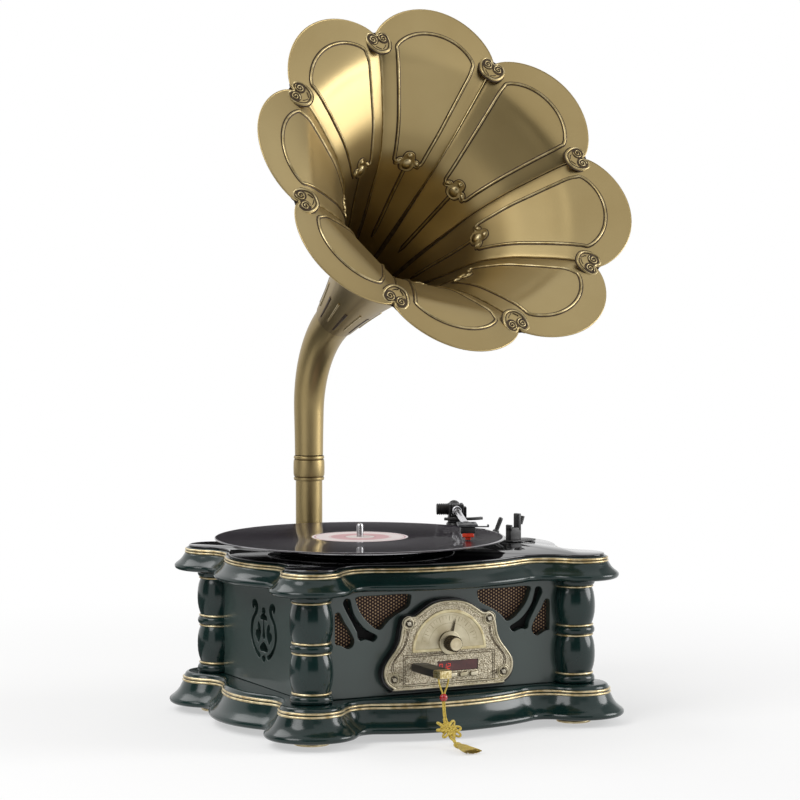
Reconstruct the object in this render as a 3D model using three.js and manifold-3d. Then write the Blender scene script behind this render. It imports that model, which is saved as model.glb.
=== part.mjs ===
// A retro record player with a petal horn: a serpentine base board and top board held apart by four
// turned columns, a pierced cabinet between them, a belt-driven platter with its record, a tonearm,
// a tuner front with a USB stick on a tasselled lanyard, and a brass horn that turns on a rear pipe.
// Millimetres. +Z is up, the front looks along -Y, and +X is to the viewer's right.
// Every place is measured from the middle of the four columns, on the floor. The last lines move the
// whole model so that the middle of its outer box, on the floor, is the origin.

import * as THREE from 'three';
import { mergeVertices } from 'three/addons/utils/BufferGeometryUtils.js';
import Module from 'manifold-3d';

const wasm = await Module();
wasm.setup();

// Clearances that many pieces share
const gap = 0.3;
const runningGap = 0.3;
const overrun = 2;

// Columns and the cabinet between the boards
const columnSpanX = 300.4;
const columnSpanY = 233.2;
const columnRadius = 21.8;
const footHeight = 8;
const footRadius = 18;
const footRimHeight = 3;
const footRimReach = 1.2;
const sidePanelOut = 1.8;
const frontPanelIn = 2.6;
const rearPanelOut = 1.4;
const panelThickness = 9;

// Boards: the outline they share, and their heights above the floor
const lobeRadius = 31.5;
const lobeOutX = 2.4;
const lobeOutY = 5;
const frontBulgeOut = 29.4;
const frontBulgeRadius = 184;
const frontSaddleRadius = 35;
const sideBulgeOut = 35;
const sideBulgeRadius = 101;
const sideSaddleRadius = 38;
const rearEdgeOut = 9.4;
const rearSaddleRadius = 22.5;
const baseBoardHeight = 33.5;
const cabinetHeight = 108.5;
const topBoardHeight = 24;
const deckThickness = 2;
const deckInset = 5;
const deckChamfer = 0.8;
const baseReach = 17;
const topReach = 10.5;
const topDraw = 10;
const baseDraw = 8;

// Openings inside the boards, and the cover under the lower one
const serviceHoleX = 200;
const serviceHoleFront = 80;
const serviceHoleRoom = 4;
const coverMargin = 14;
const coverThickness = 2;
const wellMargin = 17;
const motorRoom = 6;

// Platter, record and drive
const recordRadius = 150.8;
const recordThickness = 1.9;
const recordHoleRadius = 3.8;
const labelRadius = 50;
const labelRelief = 0.25;
const platterX = -43.4;
const platterY = -8;
const platterRadius = 98;
const platterThickness = 4.7;
const matRadius = 95;
const matThickness = 1.5;
const hubRadius = 62;
const hubHeight = 5;
const spindleRadius = 3.5;
const spindleRise = 14;
const shaftLength = 34;
const bearingRadius = 8;
const bearingLength = 30;
const bearingFlangeRadius = 13;
const bearingFlange = 0.8;
const pulleyRadius = 6.5;
const pulleyDistance = 76;
const pulleyAngle = 152 * Math.PI / 180;
const beltThickness = 0.8;
const beltHeight = 3.4;
const motorRadius = 17;
const motorHeight = 24;
const motorShaftRadius = 1.2;
const motorShaftReach = 12;

// Tonearm
const armX = 118.7;
const armY = 85.1;
const armAngle = -24.3 * Math.PI / 180;
const armLength = 188.8;
const armHeight = 28.4;
const armTubeRadius = 3.3;
const armCollarRadius = 5;
const armCollarLength = 9;
const armCollarStart = 14;
const pedestalRadius = 10.5;
const pedestalFlangeRadius = 15;
const pedestalFlange = 2.6;
const pedestalHeight = 13.4;
const turretRadius = 9;
const turretDisc = 6.6;
const yokeWidth = 16.4;
const yokeCheek = 3;
const yokeDepth = 21;
const yokeHeight = 13.6;
const pivotCapLength = 13.1;
const pivotCapRadius = 6.3;
const cheekPlate = 3.3;
const cheekPlateHeight = 12;
const armBlockDepth = 24;
const armBlockHeight = 13;
const armBlockLift = 1.1;
const weightRadius = 7;
const weightLength = 16;
const weightStart = 15;
const shellLength = 33;
const shellWidth = 21;
const shellThickness = 3;
const shellBack = 25;
const liftLength = 11;
const liftWidth = 4;
const liftThickness = 1.2;
const cartridgeWidth = 15.5;
const cartridgeLength = 20;
const cartridgeHeight = 6.2;
const stylusLength = 8;
const stylusWidth = 6;
const stylusDrop = 3;
const liftRadius = 40;
const liftBarWidth = 3.6;
const liftBarHeight = 3.2;
const liftBarClearance = 2.2;
const liftPostRadius = 2.2;
const liftHousingRadius = 4.6;
const liftHousingHeight = 12;
const liftAngle = -104.5 * Math.PI / 180;
const liftSweep = 62 * Math.PI / 180;
const leverX = 141;
const leverY = 35;
const leverHeight = 16.5;
const leverWidth = 4.4;
const leverThickness = 3.2;
const leverBarrelRadius = 2.6;
const leverLean = 24 * Math.PI / 180;
const leverStandRadius = 6;
const leverStandHeight = 4;

// Arm rest with its fork and clip
const restX = 140;
const restY = -5;
const restBaseLength = 34;
const restBaseWidth = 15;
const restBaseHeight = 2.2;
const restStemWidth = 15;
const restStemDepth = 8;
const restInnerHeight = 18.5;
const restOuterHeight = 30;
const restFloorHeight = 15.5;
const restInnerProng = 3.4;
const restOuterProng = 4.6;
const clipLength = 9;
const clipThickness = 2.2;
const clipWidth = 6;
const clipLean = 22 * Math.PI / 180;

// Front plate, its housing, the tuner and the buttons
const plateHalfWidth = 73.5;
const plateRise = 5.9;
const plateHeadroom = 14.2;
const plateThickness = 1.6;
const housingDepth = 8.4;
const housingInset = 2;
const dialRadius = 42;
const dialRise = 37.3;
const dialRim = 3.6;
const dialRelief = 0.7;
const knobRise = 45.3;
const knobRadius = 8;
const knobLength = 14;
const knobFaceRadius = 6.5;
const knobCollarRadius = 12;
const knobCollar = 1.4;
const knobRibs = 16;
const knobRibDepth = 0.7;
const pointerStart = 10;
const pointerLength = 15;
const pointerWidth = 1.8;
const pointerThickness = 0.8;
const pointerAngle = -15 * Math.PI / 180;
const knobShaftRadius = 3;
const knobShaftLength = 14;
const windowCentre = 10;
const windowWidth = 46;
const windowHeight = 10;
const windowRise = 21.6;
const windowRecess = 0.6;
const windowThickness = 3;
const buttonWidth = 8;
const buttonHeight = 4;
const buttonDepth = 5;
const buttonProud = 2;
const buttonRise = 12.2;
const buttonPitch = 12;
const buttonCount = 4;
const buttonTravel = 1;
const upperScrewShare = [0.626, 0.761];
const lowerScrewShare = [0.85, 0.133];
const screwHeadRadius = 3.4;
const screwHeadHeight = 1.6;
const screwTaperShare = 0.8;
const screwShankRadius = 1.5;
const screwShankLength = 12;

// USB stick and its lanyard
const stickX = -35;
const stickRise = 23.1;
const stickLength = 48;
const stickWidth = 17;
const stickThickness = 8;
const stickCapLength = 12;
const stickCapFront = 12;
const plugLength = 12;
const plugWidth = 12.2;
const plugThickness = 4.6;
const strandRadius = 0.9;
const strandSpread = 5.4;
const strandTouch = 0.8;
const beadRadius = 4;
const beadDrop = 19;
const knotSpan = 29;
const knotThickness = 5;
const knotTilt = 48 * Math.PI / 180;
const knotTop = 27;
const knotLobeShare = 0.14;
const cordRadius = 1.3;
const cordSag = 0.6;
const cordSink = 3;
const tasselLength = 37;
const tasselStem = 3.5;
const tasselEndRadius = 10;
const tasselFlatness = 0.42;
const floorClearance = 0.3;

// Cloth, loudspeakers and electronics inside
const clothThickness = 0.8;
const clothMargin = 6;
const speakerX = 78;
const speakerHeadroom = 6;
const speakerRadius = 31;
const speakerDepth = 30;
const amplifierX = 45;
const amplifierRoom = 17;
const amplifierWidth = 90;
const amplifierDepth = 60;
const amplifierThickness = 1.6;
const standoffHeight = 6;
const standoffRadius = 3;
const chipHeight = 14;
const chipWidth = 9.4;
const jackPlateOffBracket = 24;
const jackPlateOffColumn = 10.4;
const jackPlateRise = 50.5;
const jackPlateHeight = 40;
const jackPlateThickness = 2;
const jackRadius = 4.2;
const jackPitch = 20;
const jackCount = 4;
const jackDepth = 4;

// Horn: bracket, pipe, collar, elbow and bell
const pipeX = -24;
const pipeStandoff = 40;
const pipeRadius = 14.5;
const pipeWall = 1.6;
const pipeSeat = 18;
const pipeLength = 179.7;
const collarLength = 27.2;
const collarWall = 1.8;
const collarBulge = 0.9;
const bracketHalfWidth = 22;
const bracketRise = 24.5;
const bracketHeadroom = 6;
const elbowFootRadius = 15.4;
const seamRadius = 22;
const elbowWall = 1.5;
const elbowRise = 48;
const elbowBend = 115;
const elbowRun = 12;
const elbowFlarePower = 1.6;
const spigotLength = 26;
const hornYaw = 3.04 * Math.PI / 180;
const hornPitch = 32.4 * Math.PI / 180;
const bellDepth = 268;
const notchRadius = 175;
const petalReach = 33;
const petalRise = 11;
const petalPillow = 7;
const bellWall = 1.4;
const petalCount = 8;
const petalStart = 99 * Math.PI / 180;
const medalWidth = 27;
const medalHeight = 24.5;
const medalThickness = 3;
const medalSink = 1.2;
const medalSeatShare = 0.3;

// Outlines as shares, chosen by hand, of the sizes above. Boards: [share of reach, share of height].
const baseBoardShares = [
  [0.8, 0], [1, 0.12], [0.85, 0.24], [0.5, 0.36], [0.22, 0.55], [0.09, 0.69], [0.06, 0.83],
  [-0.25, 0.965], [-0.5, 1],
];
const topBoardShares = [
  [0.3, 0], [0.83, 0.05], [1, 0.18], [0.7, 0.34], [0.16, 0.52], [-0.18, 0.74], [-0.26, 0.97],
  [-0.6, 1],
];
// Column: [share of radius, share of height], from its base torus to its neck.
const columnShares = [
  [0.97, 0], [0.97, 0.07], [0.92, 0.085], [0.92, 0.106], [0.84, 0.114], [0.97, 0.21],
  [0.97, 0.35], [0.84, 0.448], [0.92, 0.456], [0.96, 0.484], [0.96, 0.53], [0.92, 0.56],
  [0.84, 0.568], [0.97, 0.67], [0.97, 0.81], [0.84, 0.914], [0.92, 0.922], [0.92, 0.94],
  [0.97, 0.955], [0.97, 1],
];
// Front plate: half its outline, [share of half width, share of height].
const plateShares = [
  [0, 1], [0.14, 0.993], [0.28, 0.962], [0.41, 0.9], [0.515, 0.842], [0.57, 0.834], [0.64, 0.83],
  [0.69, 0.795], [0.725, 0.71], [0.755, 0.575], [0.82, 0.468], [0.91, 0.373], [0.985, 0.278],
  [1, 0.18], [0.955, 0.09], [0.85, 0.02], [0.72, 0],
];
// Openings of the front panel: [share of the cabinet's half width, share of the cabinet's height].
const largeFretShares = [
  [0.643, 0.938], [0.268, 0.934], [0.256, 0.88], [0.268, 0.827], [0.309, 0.791], [0.358, 0.757],
  [0.416, 0.705], [0.457, 0.646], [0.484, 0.629], [0.528, 0.652], [0.577, 0.713], [0.621, 0.789],
  [0.648, 0.882],
];
const middleFretShares = [
  [0.718, 0.928], [0.698, 0.914], [0.688, 0.862], [0.67, 0.783], [0.635, 0.707], [0.59, 0.641],
  [0.545, 0.601], [0.508, 0.574], [0.503, 0.549], [0.528, 0.518], [0.555, 0.528], [0.59, 0.542],
  [0.621, 0.534], [0.64, 0.555], [0.648, 0.612], [0.67, 0.669], [0.705, 0.757], [0.736, 0.838],
  [0.749, 0.885], [0.738, 0.92],
];
const smallFretShares = [
  [0.787, 0.804], [0.771, 0.791], [0.74, 0.71], [0.705, 0.64], [0.679, 0.576], [0.67, 0.531],
  [0.683, 0.486], [0.71, 0.466], [0.736, 0.477], [0.763, 0.499], [0.793, 0.511], [0.806, 0.526],
  [0.808, 0.783],
];
// Lyre of the side panels: half of it, [share of its half width, share of its height].
const lyreHalfWidth = 33.5;
const lyreHeight = 63;
const lyreRise = 25.3;
const lyreY = -5;
const lyreArmShares = [
  [0.76, 0.83], [0.87, 0.91], [0.83, 0.965], [0.71, 0.995], [0.56, 0.99], [0.44, 0.94], [0.4, 0.87],
  [0.45, 0.79], [0.62, 0.71], [0.76, 0.6], [0.8, 0.47], [0.77, 0.35], [0.62, 0.24], [0.42, 0.16],
  [0.25, 0.12], [0.28, 0.06], [0.4, 0.07], [0.6, 0.13], [0.8, 0.24], [0.93, 0.36], [0.99, 0.48],
  [0.96, 0.59], [0.86, 0.69], [0.69, 0.78], [0.62, 0.85], [0.66, 0.89],
];
const lyreLeafShares = [
  [0.38, 0.65], [0.47, 0.59], [0.44, 0.52], [0.59, 0.49], [0.6, 0.41], [0.5, 0.36], [0.4, 0.31],
  [0.32, 0.34], [0.24, 0.41], [0.2, 0.5], [0.25, 0.59],
];
const lyreBudShares = [
  [0, 0.9], [0.12, 0.88], [0.14, 0.82], [0.1, 0.79], [0.22, 0.76], [0.25, 0.72], [0.21, 0.69],
  [0.06, 0.69], [0.06, 0.59], [0.08, 0.49], [0.11, 0.42], [0, 0.38],
];
const lyreHeartShares = [[0, 0.335], [0.15, 0.3], [0.3, 0.23], [0.28, 0.185], [0.2, 0.175], [0, 0.18]];
const lyreTearShares = [[0, 0.12], [0.1, 0.1], [0.14, 0.065], [0.09, 0.02], [0, 0.005]];
// Loudspeaker: [share of radius, share of depth], from the middle of its dish to its magnet.
const speakerShares = [
  [0, 0.35], [0.4, 0.35], [0.85, 0], [1, 0], [1, 0.1], [0.88, 0.1], [0.58, 0.6], [0.58, 1], [0, 1],
];
// Spindle's rounded top: [share of radius, share of radius above its straight part].
const spindleDomeShares = [[1, 0], [0.7, 0.7], [0, 1]];
// Tassel: [share of end radius, share of length], from its cap down.
const tasselShares = [
  [0, 0], [0.2, 0], [0.34, 0.08], [0.34, 0.22], [0.51, 0.32], [0.72, 0.6], [1, 1], [0, 1],
];
// A lanyard strand between the stick and the bead: [share of spread, share of drop].
const strandShares = [[1, 0], [0.75, 0.4]];
// Medallion: half a heart, [share of width, share of height].
const medalShares = [
  [0, -0.56], [0.28, -0.36], [0.46, -0.1], [0.5, 0.14], [0.42, 0.34], [0.25, 0.41], [0.08, 0.34],
  [0, 0.22],
];
// Bell: [share of depth, share of the way from the seam's radius to the notches' radius].
const bellShares = [
  [0, 0], [0.13, 0.038], [0.28, 0.098], [0.42, 0.172], [0.56, 0.275], [0.69, 0.372],
  [0.765, 0.464], [0.821, 0.549], [0.877, 0.66], [0.933, 0.778], [0.978, 0.895], [1, 1],
];
const pillowStartShare = 0.6;
const petalRoundness = 0.68;

// Heights worked out from the ones above
const baseTop = footHeight + baseBoardHeight;
const cabinetTop = baseTop + cabinetHeight;
const boardTop = cabinetTop + topBoardHeight;
const deckTop = boardTop + gap + deckThickness;
const hubBottom = deckTop + gap + bearingFlange + gap;
const platterBottom = hubBottom + hubHeight;
const platterTop = platterBottom + platterThickness;
const matTop = platterTop + gap + matThickness;
const recordBottom = matTop + gap;
const recordTop = recordBottom + recordThickness;
const armZ = deckTop + armHeight;
const plateBottom = baseTop + plateRise;
const plateHeight = cabinetTop - plateHeadroom - plateBottom;
const dialBase = plateBottom + dialRise;
const knobHeight = plateBottom + knobRise;
const windowMiddle = plateBottom + windowRise;
const buttonMiddle = plateBottom + buttonRise;
const stickZ = plateBottom + stickRise;
const bracketBottom = baseTop + bracketRise;
const bracketTop = cabinetTop - bracketHeadroom;
const bracketHeight = bracketTop - bracketBottom;
const pipeFoot = bracketBottom + pipeSeat;
const pipeTop = pipeFoot + pipeLength;
const collarBottom = pipeTop - collarLength;

// Faces worked out from the columns' places
const cabinetHalfWidth = columnSpanX / 2 + sidePanelOut;
const cabinetFront = columnSpanY / 2 - frontPanelIn;
const cabinetRear = columnSpanY / 2 + rearPanelOut;
const plateBack = cabinetFront + gap + housingDepth + gap;
const plateFront = plateBack + plateThickness;
const pipeY = cabinetRear + pipeStandoff;
const amplifierY = cabinetRear - panelThickness - amplifierRoom - amplifierDepth / 2;
const serviceHoleRear = amplifierY - amplifierDepth / 2 - serviceHoleRoom;
const jackPlateLeft = pipeX + bracketHalfWidth + jackPlateOffBracket;
const jackPlateRight = columnSpanX / 2 - columnRadius - jackPlateOffColumn;
const jackPlateX = (jackPlateLeft + jackPlateRight) / 2;

const lacquerColor = new THREE.Color(0.055, 0.16, 0.145);
const goldColor = new THREE.Color(0.72, 0.55, 0.27);
const hornColor = new THREE.Color(0.62, 0.53, 0.33);
const finishes = {
  lacquer: new THREE.MeshStandardMaterial({ color: lacquerColor, roughness: 0.18, metalness: 0 }),
  deck: new THREE.MeshStandardMaterial({ color: 0x0d0c0e, roughness: 0.08, metalness: 0 }),
  foot: new THREE.MeshStandardMaterial({ color: goldColor, roughness: 0.35, metalness: 0.6 }),
  horn: new THREE.MeshStandardMaterial({ color: hornColor, roughness: 0.32, metalness: 1 }),
  plate: new THREE.MeshStandardMaterial({ color: 0xb9ab82, roughness: 0.45, metalness: 0.8 }),
  plastic: new THREE.MeshStandardMaterial({ color: 0x17171a, roughness: 0.4, metalness: 0 }),
  vinyl: new THREE.MeshStandardMaterial({ color: 0x0b090c, roughness: 0.25, metalness: 0 }),
  rubber: new THREE.MeshStandardMaterial({ color: 0x141414, roughness: 0.8, metalness: 0 }),
  steel: new THREE.MeshStandardMaterial({ color: 0xb8babd, roughness: 0.25, metalness: 1 }),
  alloy: new THREE.MeshStandardMaterial({ color: 0x9a9a9c, roughness: 0.3, metalness: 1 }),
  stylus: new THREE.MeshStandardMaterial({ color: 0xd8331c, roughness: 0.3, metalness: 0 }),
  cloth: new THREE.MeshStandardMaterial({ color: 0x3a1511, roughness: 0.9, metalness: 0 }),
  circuit: new THREE.MeshStandardMaterial({ color: 0x1d5a32, roughness: 0.5, metalness: 0 }),
  display: new THREE.MeshStandardMaterial({ color: 0x3a1420, roughness: 0.15, metalness: 0 }),
  cord: new THREE.MeshStandardMaterial({ color: 0xc9b23a, roughness: 0.8, metalness: 0 }),
  bead: new THREE.MeshStandardMaterial({ color: 0xb3101c, roughness: 0.3, metalness: 0 }),
};

const player = new THREE.Group();
const trailing = new THREE.Group();

function addPiece(name, finish, geometry, place = player) {
  const mesh = new THREE.Mesh(geometry, finishes[finish]);
  mesh.name = name;
  place.add(mesh);
  return mesh;
}

// Solids and their cuts and joins

function solidOf(geometry) {
  const bare = geometry.clone();
  bare.deleteAttribute('normal');
  bare.deleteAttribute('uv');
  const merged = mergeVertices(bare);
  const corners = [];
  for (let i = 0; i < merged.index.count; i += 3) {
    const [a, b, c] = [0, 1, 2].map((k) => merged.index.getX(i + k));
    if (a !== b && b !== c && c !== a) corners.push(a, b, c);
  }
  const vertProperties = new Float32Array(merged.attributes.position.array);
  const triVerts = new Uint32Array(corners);
  return new wasm.Manifold(new wasm.Mesh({ numProp: 3, vertProperties, triVerts }));
}

function geometryOf(solid) {
  const mesh = solid.getMesh();
  const geometry = new THREE.BufferGeometry();
  geometry.setAttribute('position', new THREE.BufferAttribute(new Float32Array(mesh.vertProperties), 3));
  geometry.setIndex(Array.from(mesh.triVerts));
  geometry.computeVertexNormals();
  return geometry;
}

function join(...geometries) {
  return geometryOf(geometries.map(solidOf).reduce((whole, part) => whole.add(part)));
}

function cut(geometry, ...tools) {
  return geometryOf(tools.map(solidOf).reduce((whole, tool) => whole.subtract(tool), solidOf(geometry)));
}

// Shapes: a box by its corners, a turned piece, and plates that face the front, the side or up

function boxBetween([x0, y0, z0], [x1, y1, z1]) {
  const box = new THREE.BoxGeometry(x1 - x0, y1 - y0, z1 - z0);
  return box.translate((x0 + x1) / 2, (y0 + y1) / 2, (z0 + z1) / 2);
}

function turned(profile, sides) {
  const points = profile.map(([r, z]) => new THREE.Vector2(r, z));
  return new THREE.LatheGeometry(points, sides).rotateX(Math.PI / 2);
}

function post(radius, bottom, top, sides = 24) {
  return turned([[0, bottom], [radius, bottom], [radius, top], [0, top]], sides);
}

function sleeve(inner, outer, bottom, top, sides = 24) {
  return turned([[inner, bottom], [outer, bottom], [outer, top], [inner, top], [inner, bottom]], sides);
}

function extruded(shape, depth, steps = 6) {
  return new THREE.ExtrudeGeometry(shape, { depth, bevelEnabled: false, curveSegments: steps });
}

function facingFront(shape, depth, backY, steps = 6) {
  return extruded(shape, depth, steps).rotateX(Math.PI / 2).translate(0, backY, 0);
}

function facingSide(shape, depth, startX, steps = 6) {
  const turn = new THREE.Matrix4().makeBasis(
    new THREE.Vector3(0, 1, 0), new THREE.Vector3(0, 0, 1), new THREE.Vector3(1, 0, 0));
  return extruded(shape, depth, steps).applyMatrix4(turn).translate(startX, 0, 0);
}

function alongFront(geometry, x, y, z) {
  return geometry.rotateX(Math.PI / 2).translate(x, y, z);
}

function roundedRectangle(x0, y0, x1, y1, radius) {
  const shape = new THREE.Shape();
  shape.moveTo(x0 + radius, y0);
  shape.lineTo(x1 - radius, y0);
  shape.absarc(x1 - radius, y0 + radius, radius, -Math.PI / 2, 0);
  shape.lineTo(x1, y1 - radius);
  shape.absarc(x1 - radius, y1 - radius, radius, 0, Math.PI / 2);
  shape.lineTo(x0 + radius, y1);
  shape.absarc(x0 + radius, y1 - radius, radius, Math.PI / 2, Math.PI);
  shape.lineTo(x0, y0 + radius);
  shape.absarc(x0 + radius, y0 + radius, radius, Math.PI, 1.5 * Math.PI);
  return shape;
}

function shapeOf(points) {
  const corners = points.map(([x, y]) => new THREE.Vector2(x, y));
  return new THREE.Shape(THREE.ShapeUtils.area(corners) < 0 ? corners.reverse() : corners);
}

function mirroredAcross(points) {
  return [...points, ...points.filter(([x]) => x !== 0).reverse().map(([x, y]) => [-x, y])];
}

// A closed skin over rings of equal point counts; both ends are capped, or joined ring to ring

function skinOver(rings, closesOnItself, capPoints) {
  const count = rings[0].length;
  const positions = rings.flatMap((ring) => ring.flatMap((p) => [p.x, p.y, p.z]));
  const index = [];
  const bands = closesOnItself ? rings.length : rings.length - 1;
  for (let row = 0; row < bands; row += 1) {
    const next = ((row + 1) % rings.length) * count;
    for (let i = 0; i < count; i += 1) {
      const j = (i + 1) % count;
      index.push(row * count + i, row * count + j, next + j);
      index.push(row * count + i, next + j, next + i);
    }
  }
  if (!closesOnItself) {
    const last = (rings.length - 1) * count;
    THREE.ShapeUtils.triangulateShape(capPoints, []).forEach(([a, b, c]) => {
      index.push(a, c, b);
      index.push(last + a, last + b, last + c);
    });
  }
  const geometry = new THREE.BufferGeometry();
  geometry.setAttribute('position', new THREE.Float32BufferAttribute(positions, 3));
  geometry.setIndex(index);
  geometry.computeVertexNormals();
  return geometry;
}

// The boards' outline: circles that touch each other, walked anticlockwise. A saddle circle lies
// outside the board and touches the lobe and the bulge beside it.

function touchingCircle(lobe, bulge, radius, outward) {
  const reachA = lobe.r + radius;
  const reachB = bulge.r + radius;
  const dx = bulge.x - lobe.x;
  const dy = bulge.y - lobe.y;
  const apart = Math.hypot(dx, dy);
  const along = (reachA ** 2 - reachB ** 2 + apart ** 2) / (2 * apart);
  const aside = Math.sqrt(reachA ** 2 - along ** 2);
  const places = [1, -1].map((side) => ({
    x: lobe.x + (along * dx - side * aside * dy) / apart,
    y: lobe.y + (along * dy + side * aside * dx) / apart,
    r: radius,
  }));
  return places.sort((a, b) => outward(b) - outward(a))[0];
}

const cornerLobe = { x: columnSpanX / 2 + lobeOutX, y: columnSpanY / 2 + lobeOutY, r: lobeRadius };
const frontLobe = { ...cornerLobe, y: -cornerLobe.y };
const frontBulgeY = frontBulgeRadius - frontBulgeOut - columnSpanY / 2;
const frontBulge = { x: 0, y: frontBulgeY, r: frontBulgeRadius };
const sideBulgeX = columnSpanX / 2 + sideBulgeOut - sideBulgeRadius;
const sideBulge = { x: sideBulgeX, y: 0, r: sideBulgeRadius };
const frontSaddle = touchingCircle(frontLobe, frontBulge, frontSaddleRadius, (c) => -c.y);
const sideSaddle = touchingCircle(frontLobe, sideBulge, sideSaddleRadius, (c) => c.x);
const rearRise = rearEdgeOut - lobeOutY + rearSaddleRadius;
const rearSaddle = {
  x: cornerLobe.x - Math.sqrt((lobeRadius + rearSaddleRadius) ** 2 - rearRise ** 2),
  y: cornerLobe.y + rearRise,
  r: rearSaddleRadius,
};

function mirrored(circle, sx, sy) {
  return { ...circle, x: sx * Math.abs(circle.x) * Math.sign(circle.x || 1), y: sy * circle.y };
}

const outlineCircles = [
  { ...mirrored(frontLobe, -1, 1), hollow: false, steps: 7 },
  { ...mirrored(frontSaddle, -1, 1), hollow: true, steps: 2 },
  { ...frontBulge, hollow: false, steps: 6 },
  { ...frontSaddle, hollow: true, steps: 2 },
  { ...frontLobe, hollow: false, steps: 7 },
  { ...sideSaddle, hollow: true, steps: 2 },
  { ...sideBulge, hollow: false, steps: 5 },
  { ...mirrored(sideSaddle, 1, -1), hollow: true, steps: 2 },
  { ...cornerLobe, hollow: false, steps: 7 },
  { ...rearSaddle, hollow: true, steps: 2, leavesStraight: true },
  { ...mirrored(rearSaddle, -1, 1), hollow: true, steps: 2, comesStraight: true },
  { ...mirrored(cornerLobe, -1, 1), hollow: false, steps: 7 },
  { ...mirrored(sideSaddle, -1, -1), hollow: true, steps: 2 },
  { ...sideBulge, x: -sideBulge.x, hollow: false, steps: 5 },
  { ...mirrored(sideSaddle, -1, 1), hollow: true, steps: 2 },
];

function boardOutline(offset) {
  const points = [];
  const turn = 2 * Math.PI;
  outlineCircles.forEach((circle, i) => {
    const before = outlineCircles.at(i - 1);
    const after = outlineCircles[(i + 1) % outlineCircles.length];
    const towards = (other) => Math.atan2(other.y - circle.y, other.x - circle.x);
    const from = circle.comesStraight ? -Math.PI / 2 : towards(before);
    const to = circle.leavesStraight ? -Math.PI / 2 : towards(after);
    const sweep = circle.hollow ? -((from - to + 2 * turn) % turn) : (to - from + 2 * turn) % turn;
    const radius = circle.hollow ? circle.r - offset : circle.r + offset;
    for (let k = circle.comesStraight ? 0 : 1; k <= circle.steps; k += 1) {
      const angle = from + sweep * k / circle.steps;
      const x = circle.x + radius * Math.cos(angle);
      points.push(new THREE.Vector2(x, circle.y + radius * Math.sin(angle)));
    }
  });
  return points;
}

function mouldedBoard(profile) {
  const ringAtHeight = ([offset, z]) => boardOutline(offset).map((p) => new THREE.Vector3(p.x, p.y, z));
  return skinOver(profile.map(ringAtHeight), false, boardOutline(profile[0][0]));
}

// Lower board, feet and cover

const baseProfile = baseBoardShares.map(([reach, height]) => [
  reach < 0 ? reach * baseDraw : reach * baseReach,
  footHeight + height * baseBoardHeight,
]);
const serviceHole = boxBetween(
  [-serviceHoleX / 2, -serviceHoleFront, footHeight - overrun],
  [serviceHoleX / 2, serviceHoleRear, baseTop + overrun],
);
addPiece('base_board', 'lacquer', cut(mouldedBoard(baseProfile), serviceHole));

const coverShape = roundedRectangle(
  -serviceHoleX / 2 - coverMargin, -serviceHoleFront - coverMargin,
  serviceHoleX / 2 + coverMargin, serviceHoleRear + coverMargin, coverMargin,
);
const bottomCover = extruded(coverShape, coverThickness, 3);
addPiece('bottom_cover', 'plastic', bottomCover.translate(0, 0, footHeight - gap - coverThickness));

const corners = [['fl', -1, -1], ['fr', 1, -1], ['rl', -1, 1], ['rr', 1, 1]];
corners.forEach(([corner, sx, sy]) => {
  const foot = turned([
    [0, 0], [footRadius, 0], [footRadius, footRimHeight], [footRadius - footRimReach, footRimHeight],
    [footRadius - footRimReach, footHeight - gap], [0, footHeight - gap],
  ], 18);
  addPiece(`foot_${corner}`, 'foot', foot.translate(sx * columnSpanX / 2, sy * columnSpanY / 2, 0));
});

// Columns: turned, with the quarter that faces the cabinet's corner cut away

corners.forEach(([corner, sx, sy]) => {
  const height = cabinetHeight - 2 * gap;
  const profile = columnShares.map(([r, z]) => [r * columnRadius, baseTop + gap + z * height]);
  const column = turned([[0, profile[0][1]], ...profile, [0, profile.at(-1)[1]]], 12);
  column.translate(sx * columnSpanX / 2, sy * columnSpanY / 2, 0);
  const face = sy < 0 ? cabinetFront : cabinetRear;
  const x = [0, sx * (cabinetHalfWidth + gap)].sort((a, b) => a - b);
  const y = [0, sy * (face + gap)].sort((a, b) => a - b);
  const notch = boxBetween([x[0], y[0], baseTop - overrun], [x[1], y[1], cabinetTop + overrun]);
  addPiece(`column_${corner}`, 'lacquer', cut(column, notch));
});

// Holes that run through the front plate and what stands behind it

const plugBox = (grow, y0, y1) => boxBetween(
  [stickX - plugWidth / 2 - grow, y0, stickZ - plugThickness / 2 - grow],
  [stickX + plugWidth / 2 + grow, y1, stickZ + plugThickness / 2 + grow],
);
const screwPlaces = [['t', upperScrewShare], ['b', lowerScrewShare]].flatMap(
  ([level, [across, up]]) => [['l', -1], ['r', 1]].map(([hand, side]) => [
    level + hand, side * across * plateHalfWidth, plateBottom + up * plateHeight,
  ]),
);
const screwBores = screwPlaces.map(([, x, z]) => alongFront(
  post(screwShankRadius + gap, -screwShankLength - gap, overrun, 10), x, -plateFront, z,
));
const plugBore = plugBox(gap, -plateFront - overrun, -plateFront + plugLength + gap);
const knobBore = alongFront(
  post(knobShaftRadius + runningGap, -plateFront, plateFront, 12), 0, 0, knobHeight,
);

// Cabinet panels: the front and rear ones stand between the side ones

const panelBottom = baseTop + gap;
const panelTop = cabinetTop - gap;
const innerHalfWidth = cabinetHalfWidth - panelThickness - gap;

function fretShapes(side) {
  return [largeFretShares, middleFretShares, smallFretShares].map((shares) => shapeOf(
    shares.map(([x, z]) => [side * x * cabinetHalfWidth, baseTop + z * cabinetHeight]),
  ));
}

function lyrePoint([across, up], side = 1) {
  return [lyreY + side * across * lyreHalfWidth, baseTop + lyreRise + up * lyreHeight];
}

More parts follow.
